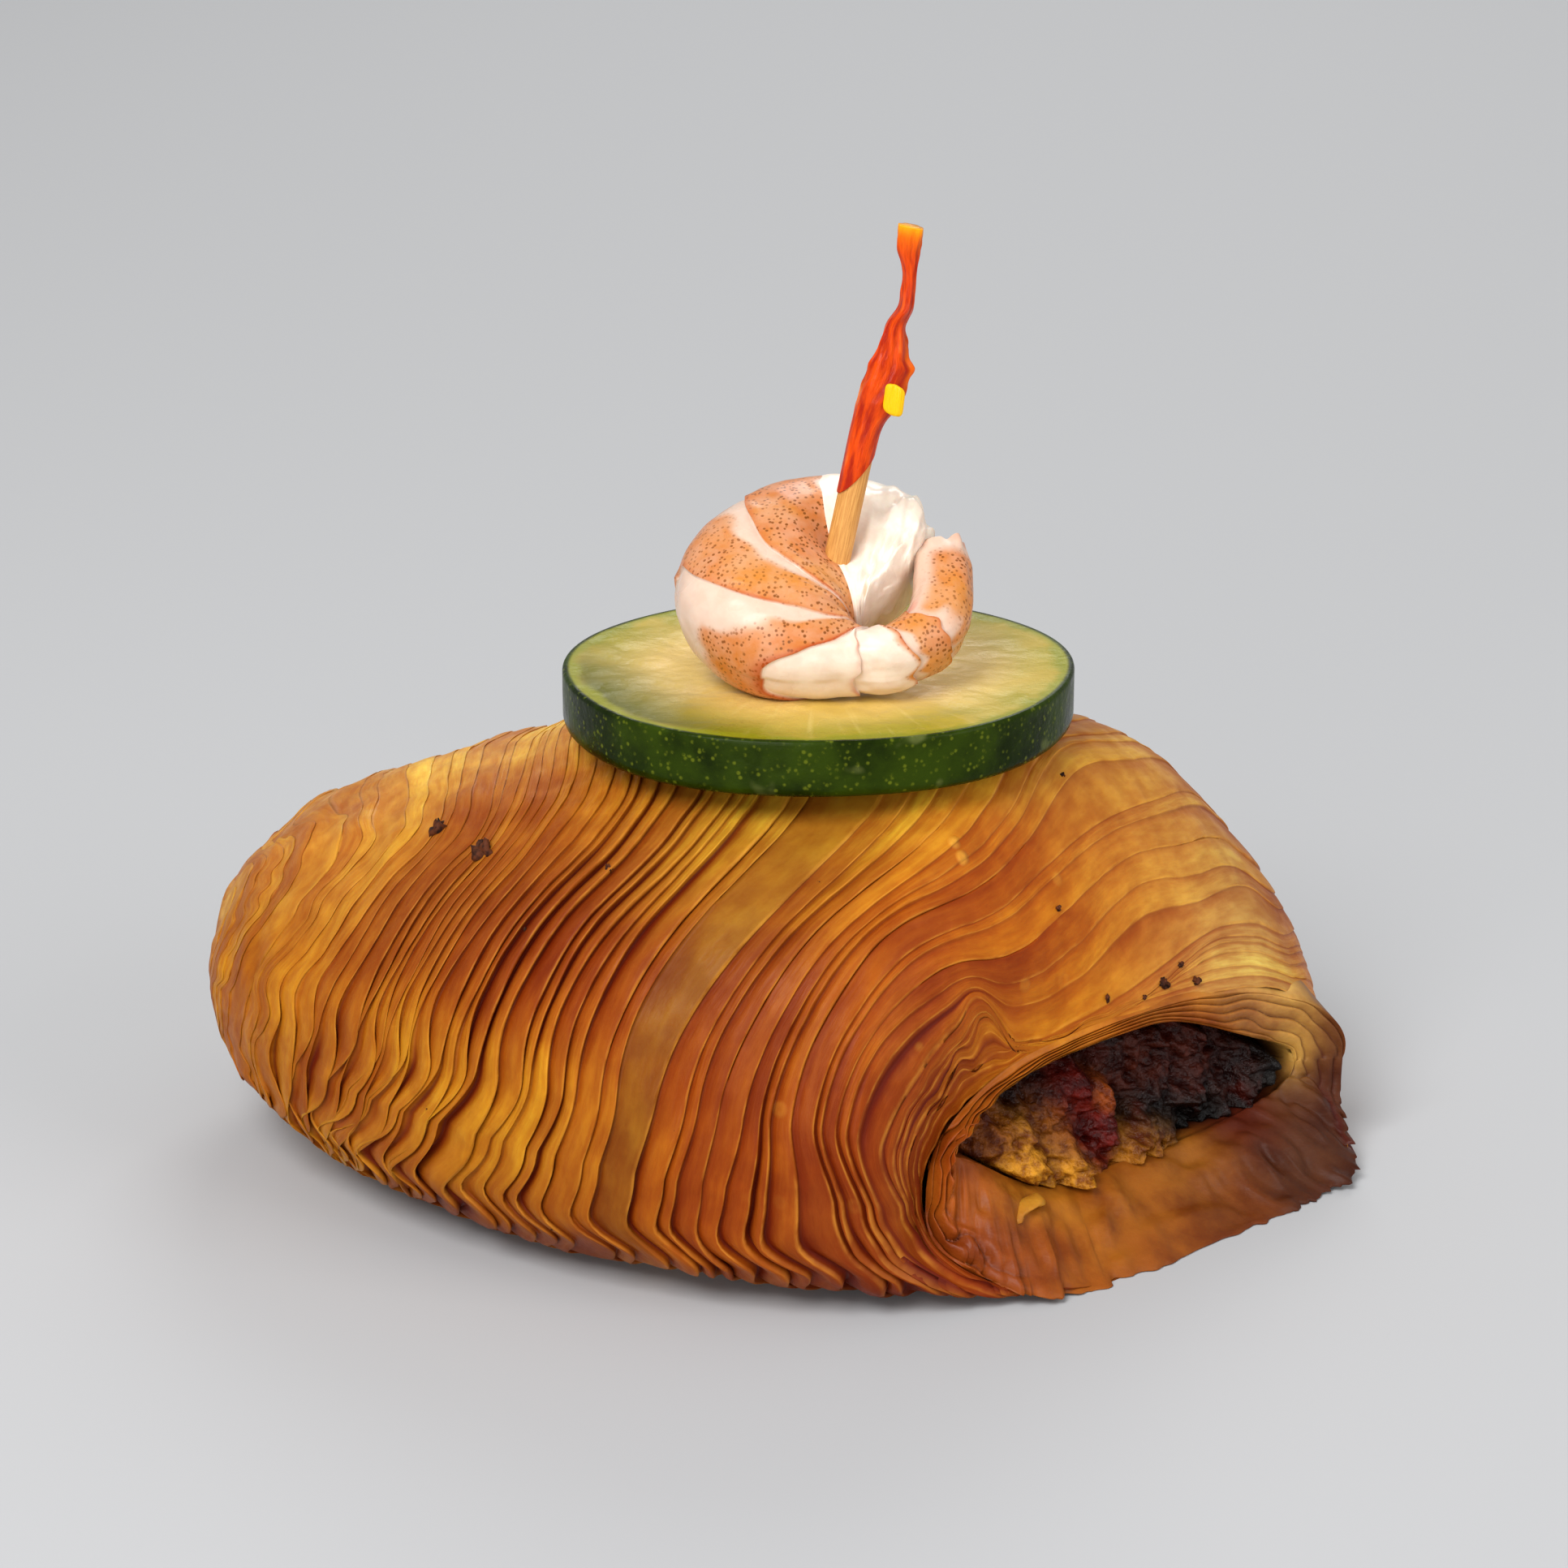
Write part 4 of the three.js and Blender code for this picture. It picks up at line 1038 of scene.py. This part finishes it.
from_hole = PRAWN_RIGHT * np.cos(turned) + PRAWN_BACK * np.sin(turned)
outward = outward * to_tail + from_hole * (1 - to_tail)
lap = (0.34 * along ** 2 + 0.22 * np.sin(np.pi * along)) * smooth((number - 0.5) / 0.4)
puff = 0.20 * waves(body_at * 16, body_angle * 1.3, 51)
puff += 0.06 * waves(body_at * 60, body_angle * 4, 52)
torn = smooth((0.17 - body_at) / 0.08)
puff += 0.9 * torn * waves(body_at * 34, body_angle * 2.4, 53)
puff += 0.5 * torn * waves(body_at * 80, body_angle * 5, 54)
cut_end = smooth((body_at - 0.965) / 0.03)
puff += 0.6 * cut_end * waves(body_at * 20, body_angle * 2.2, 55)
exponent = np.where((cosine < 0) & (sine > 0), 0.72, 0.9)
deep = body[..., 2] + (lap + puff) * (0.45 + 0.55 * smooth(cosine * 1.5 + 0.5))
wide = body[..., 3] + lap + puff
prawn_points = (spine + outward * (deep * power(cosine, exponent))[..., None]
                + PRAWN_ACROSS * (wide * power(sine, exponent))[..., None])

# the meat sinks in where the pick goes through it
PICK_POINT = np.array([4.6, -2.2, 55.0])
PICK_AXIS = np.array([0.205, 0, 1]) / math.hypot(0.205, 1)
from_pick = prawn_points - PICK_POINT
from_pick = np.linalg.norm(from_pick - (from_pick @ PICK_AXIS)[..., None] * PICK_AXIS, axis=-1)
prawn_points -= PRAWN_ACROSS * (2.3 * bell(from_pick, 2.8) * smooth(sine * 3))[..., None]
prawn_points[..., 2] = np.maximum(prawn_points[..., 2], slice_top - 0.05)

ragged = 0.10 * waves(body_at * 40, body_angle * 3, 61)
freckled = smooth((along - white + ragged) / 0.16)
freckled *= 1 - 0.9 * smooth((number - 6.5) / 0.4) * smooth((0.0 - cosine) / 0.5)
freckled *= 1 - smooth((body_at - 0.965) / 0.02)
lap_line = bell(along - 1.0, 0.05) * smooth((number - 0.5) / 0.4)
lap_line *= 0.5 + 0.5 * waves(body_at * 12, body_angle * 2, 62)
blush = 0.60 * smooth((number - 0.5) / 0.4) - 0.30 * smooth((number - 3.5) / 0.4)
blush += 0.4 * smooth((number - 5.5) / 0.4)
red_streak = bell(body_at - 0.845, 0.03) * bell(cosine + 0.75, 0.35)
red_streak *= smooth(waves(body_at * 30, body_angle * 5, 63) * 3)
deeper = smooth((cosine - 0.1) / 0.9) * smooth((number - 0.5) / 0.4) * smooth((4.5 - number) / 0.4)

prawn_material, tree, shader = new_material("prawn_meat")
where = add_node(tree, "ShaderNodeTexCoord").outputs["Object"]
fibres = grain(tree, where, 420, 4, 0.6)
cloud = grain(tree, where, 150, 3)
meat = blend_colours(tree, rescaled(tree, fibres, 0.35, 0.66), (0.82, 0.67, 0.54), (0.92, 0.81, 0.68))
meat = blend_colours(tree, attribute(tree, "blush"), meat, (0.60, 0.36, 0.25))
cloudy = rescaled(tree, cloud, 0.38, 0.64)
orange = blend_colours(tree, cloudy, (0.60, 0.21, 0.022), (0.54, 0.140, 0.004))
orange = blend_colours(tree, attribute(tree, "deeper"), orange, (0.58, 0.160, 0.008))
freckle_share = attribute(tree, "freckled")
share_here = maths(tree, "MULTIPLY", freckle_share, rescaled(tree, fibres, 0.25, 0.7, 0.97, 0.72))
colour = blend_colours(tree, share_here, meat, orange)
dot = dots(tree, where, 2300, 0.22, 0.40)
dot = maths(tree, "MULTIPLY", dot, freckle_share)
dot = maths(tree, "MULTIPLY", dot, rescaled(tree, cloud, 0.35, 0.6, 0.6, 1.0))
colour = blend_colours(tree, dot, colour, (0.22, 0.060, 0.002))
colour = blend_colours(tree, attribute(tree, "lap_line"), colour, (0.42, 0.05, 0.002))
colour = blend_colours(tree, attribute(tree, "red_streak"), colour, (0.62, 0.08, 0.05))
relief = maths(tree, "ADD", cloud, maths(tree, "MULTIPLY", fibres, 0.4))
finish(tree, shader, colour, rescaled(tree, cloud, 0.35, 0.65, 0.22, 0.38), 0.3,
       (relief, 0.3, 0.0004), (0.2, (1.0, 0.45, 0.25), 0.0015))
prawn = skin("prawn_curl", prawn_points, prawn_material,
             masks={"freckled": freckled, "lap_line": np.clip(lap_line, 0, 1), "blush": blush,
                    "deeper": deeper * 0.9, "red_streak": red_streak * 0.7})
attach(prawn, "root")
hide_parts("prawn")

# ---- Pick: stick ----
# A round bamboo stick of just over two millimetres, pushed through the prawn and the slice into
# the pastry. Its grain runs along it.
PICK_SIDE = np.array([PICK_AXIS[2], 0, -PICK_AXIS[0]])
PICK_DEPTH = np.cross(PICK_AXIS, PICK_SIDE)
STICK_COLUMNS = 48
STICK_RADIUS = 1.15
# heights along the pick of its point, of where it is full round, of its top's edge and of its top
STICK_POINT, STICK_FULL, STICK_EDGE, STICK_TOP = -33, -28, 17.3, 17.5
stick_at = np.concatenate([
    [STICK_POINT, STICK_POINT + 0.4, STICK_POINT + 1.5],
    np.linspace(STICK_FULL, STICK_EDGE, 90),
    [STICK_TOP - 0.05, STICK_TOP],
])
stick_radius = np.interp(stick_at, [STICK_POINT, STICK_POINT + 0.4, STICK_FULL, STICK_EDGE, STICK_TOP],
                         [0.1, 0.3, STICK_RADIUS, STICK_RADIUS, 1.0])
at = stick_at[:, None] * np.ones((1, STICK_COLUMNS))
angle = full_turn(len(stick_at), STICK_COLUMNS)
radius = stick_radius[:, None] * (1 + 0.012 * waves(angle * 3.8, at / 9, 71))


def round_pick(at, side, depth):
    """Points at a height along the pick's axis, off to its side and depth."""
    across = PICK_SIDE * side[..., None] + PICK_DEPTH * depth[..., None]
    return PICK_POINT + PICK_AXIS * at[..., None] + across


wood_material, tree, shader = new_material("pick_wood")
grain_place = attribute(tree, "grain", "Vector")
wood_grain = grain(tree, grain_place, 1.0, 5, 0.6, (7, 0.35, 1))
fleck = grain(tree, grain_place, 1.0, 3, 0.6, (16, 1.6, 1))
fibre_share = rescaled(tree, wood_grain, 0.3, 0.7)
colour = blend_colours(tree, fibre_share, (0.50, 0.20, 0.034), (0.76, 0.38, 0.095))
colour = blend_colours(tree, rescaled(tree, fleck, 0.6, 0.72, 0.0, 0.5), colour, (0.45, 0.17, 0.03))
finish(tree, shader, colour, rescaled(tree, wood_grain, 0.3, 0.7, 0.65, 0.5), 0.5,
       (wood_grain, 0.4, 0.0003))
stick_points = round_pick(at, radius * np.cos(angle), radius * np.sin(angle))
stick = skin("pick_bamboo", stick_points, wood_material,
             colours={"grain": np.stack([angle * 1.15, at, 0 * at], -1)})
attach(stick, "root")
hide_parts("pick_stick")

# ---- Pick: film ----
# Thin orange film rolled tight round the stick's upper end and twisted above it, with a slanting
# lower edge, a flared top and a small folded-over corner that shows yellow.
FILM_LOW, FILM_TOP = 7.6, 31.4
# height along the pick, shift to its side, half sizes across, twist in degrees
FILM = np.array([
    (FILM_LOW, 0.0, 1.27, 1.27, 0),
    (10.6, 0.0, 1.28, 1.28, 0),
    (12.6, 0.0, 1.30, 1.30, 0),
    (13.6, 0.04, 1.33, 1.30, 0),
    (14.4, 0.15, 1.42, 1.3, 0),
    (15.6, 0.45, 1.75, 1.35, 5),
    (17.0, 0.72, 1.95, 1.4, 12),
    (18.6, 0.95, 1.80, 1.3, 18),
    (19.4, 1.15, 1.95, 1.2, 22),
    (20.2, 0.95, 1.50, 1.1, 28),
    (21.5, 0.85, 1.30, 0.95, 40),
    (23.0, 0.70, 1.0, 0.75, 62),
    (24.4, 1.15, 1.25, 0.65, 84),
    (25.8, 1.05, 0.85, 0.6, 110),
    (27.2, 0.85, 0.66, 0.5, 135),
    (29.2, 0.30, 0.95, 0.6, 168),
    (FILM_TOP, 0.1, 1.1, 0.8, 190),
])
FILM_ROWS, FILM_COLUMNS = 220, 72
angle = full_turn(FILM_ROWS, FILM_COLUMNS)
low_edge = FILM_LOW + 2.0 * (1 + np.cos(angle - 0.3))
climb = np.linspace(0, 1, FILM_ROWS)[:, None]
at = low_edge + (FILM_TOP - low_edge) * climb
film = curve(FILM[:, 0], FILM[:, 1:], at)
twist = np.radians(film[..., 3])
loose = smooth((at - 14) / 4)
fold = 1 + loose * (0.07 * np.sin(3 * angle + at * 0.5) + 0.05 * np.sin(7 * angle - at * 0.8))
fold += loose * 0.05 * waves(angle * 2, at * 1.2, 81)
u = film[..., 1] * np.cos(angle - twist) * fold
v = film[..., 2] * np.sin(angle - twist) * fold
film_side = film[..., 0] + u * np.cos(twist) - v * np.sin(twist)
film_points = round_pick(at, film_side, u * np.sin(twist) + v * np.cos(twist))

film_material, tree, shader = new_material("pick_film")
wrap = attribute(tree, "wrap", "Vector")
crease = grain(tree, wrap, 1.0, 4, 0.55, (1.6, 0.30, 1))
creased = rescaled(tree, crease, 0.34, 0.62)
colour = blend_colours(tree, creased, (0.36, 0.014, 0.001), (0.68, 0.062, 0.001))
# painted highlights along the film's creases
colour = blend_colours(tree, rescaled(tree, crease, 0.60, 0.74, 0.0, 0.5), colour, (0.86, 0.17, 0.02))
colour = blend_colours(tree, attribute(tree, "thin"), colour, (0.92, 0.19, 0.001))
colour = blend_colours(tree, attribute(tree, "yellow"), colour, (0.95, 0.50, 0.004))
finish(tree, shader, colour, 0.22, 0.16, (crease, 0.5, 0.0006), (0.3, (1.0, 0.2, 0.02), 0.001))
thin = 0.9 * bell(at - FILM_TOP, 1.5) + 0.9 * bell(at - 16.4, 1.0) * smooth(-np.cos(angle) * 6 - 5)
thin += 0.5 * bell(at - 19, 2.5) * smooth(np.cos(angle) * 5 - 3.6)
film_piece = skin("pick_film_twist", film_points, film_material,
                  masks={"thin": np.clip(thin, 0, 1), "yellow": 0.5 * bell(at - FILM_TOP, 0.5)},
                  colours={"wrap": np.stack([angle * 1.4, at, 0 * at], -1)})

# the folded-over corner
TAB_ROWS, TAB_COLUMNS = 24, 40
TAB_AT, TAB_SIDE, TAB_DEPTH = 16.75, 1.75, -1.35
TAB_HALF_HEIGHT, TAB_HALF_WIDTH, TAB_HALF_THICK = 1.35, 0.90, 0.25
round_tab = full_turn(TAB_ROWS, TAB_COLUMNS)
down_tab = np.linspace(-1, 1, TAB_ROWS)[:, None] * np.ones_like(round_tab)
narrow = np.maximum(1 - np.abs(down_tab) ** 6, 0.02) ** 0.5
tab_points = round_pick(
    TAB_AT - TAB_HALF_HEIGHT * down_tab - 0.15 * np.cos(round_tab) * narrow,
    TAB_SIDE + 0.12 * down_tab + TAB_HALF_WIDTH * narrow * power(np.cos(round_tab), 0.7),
    TAB_DEPTH + TAB_HALF_THICK * narrow * np.sin(round_tab),
)
tab = skin("pick_film_corner", tab_points[:, ::-1], film_material,
           masks={"thin": np.ones_like(round_tab), "yellow": np.ones_like(round_tab)},
           colours={"wrap": np.stack([round_tab, down_tab, 0 * down_tab], -1)})
for piece in (film_piece, tab):
    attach(piece, "root")
    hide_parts("pick_film")
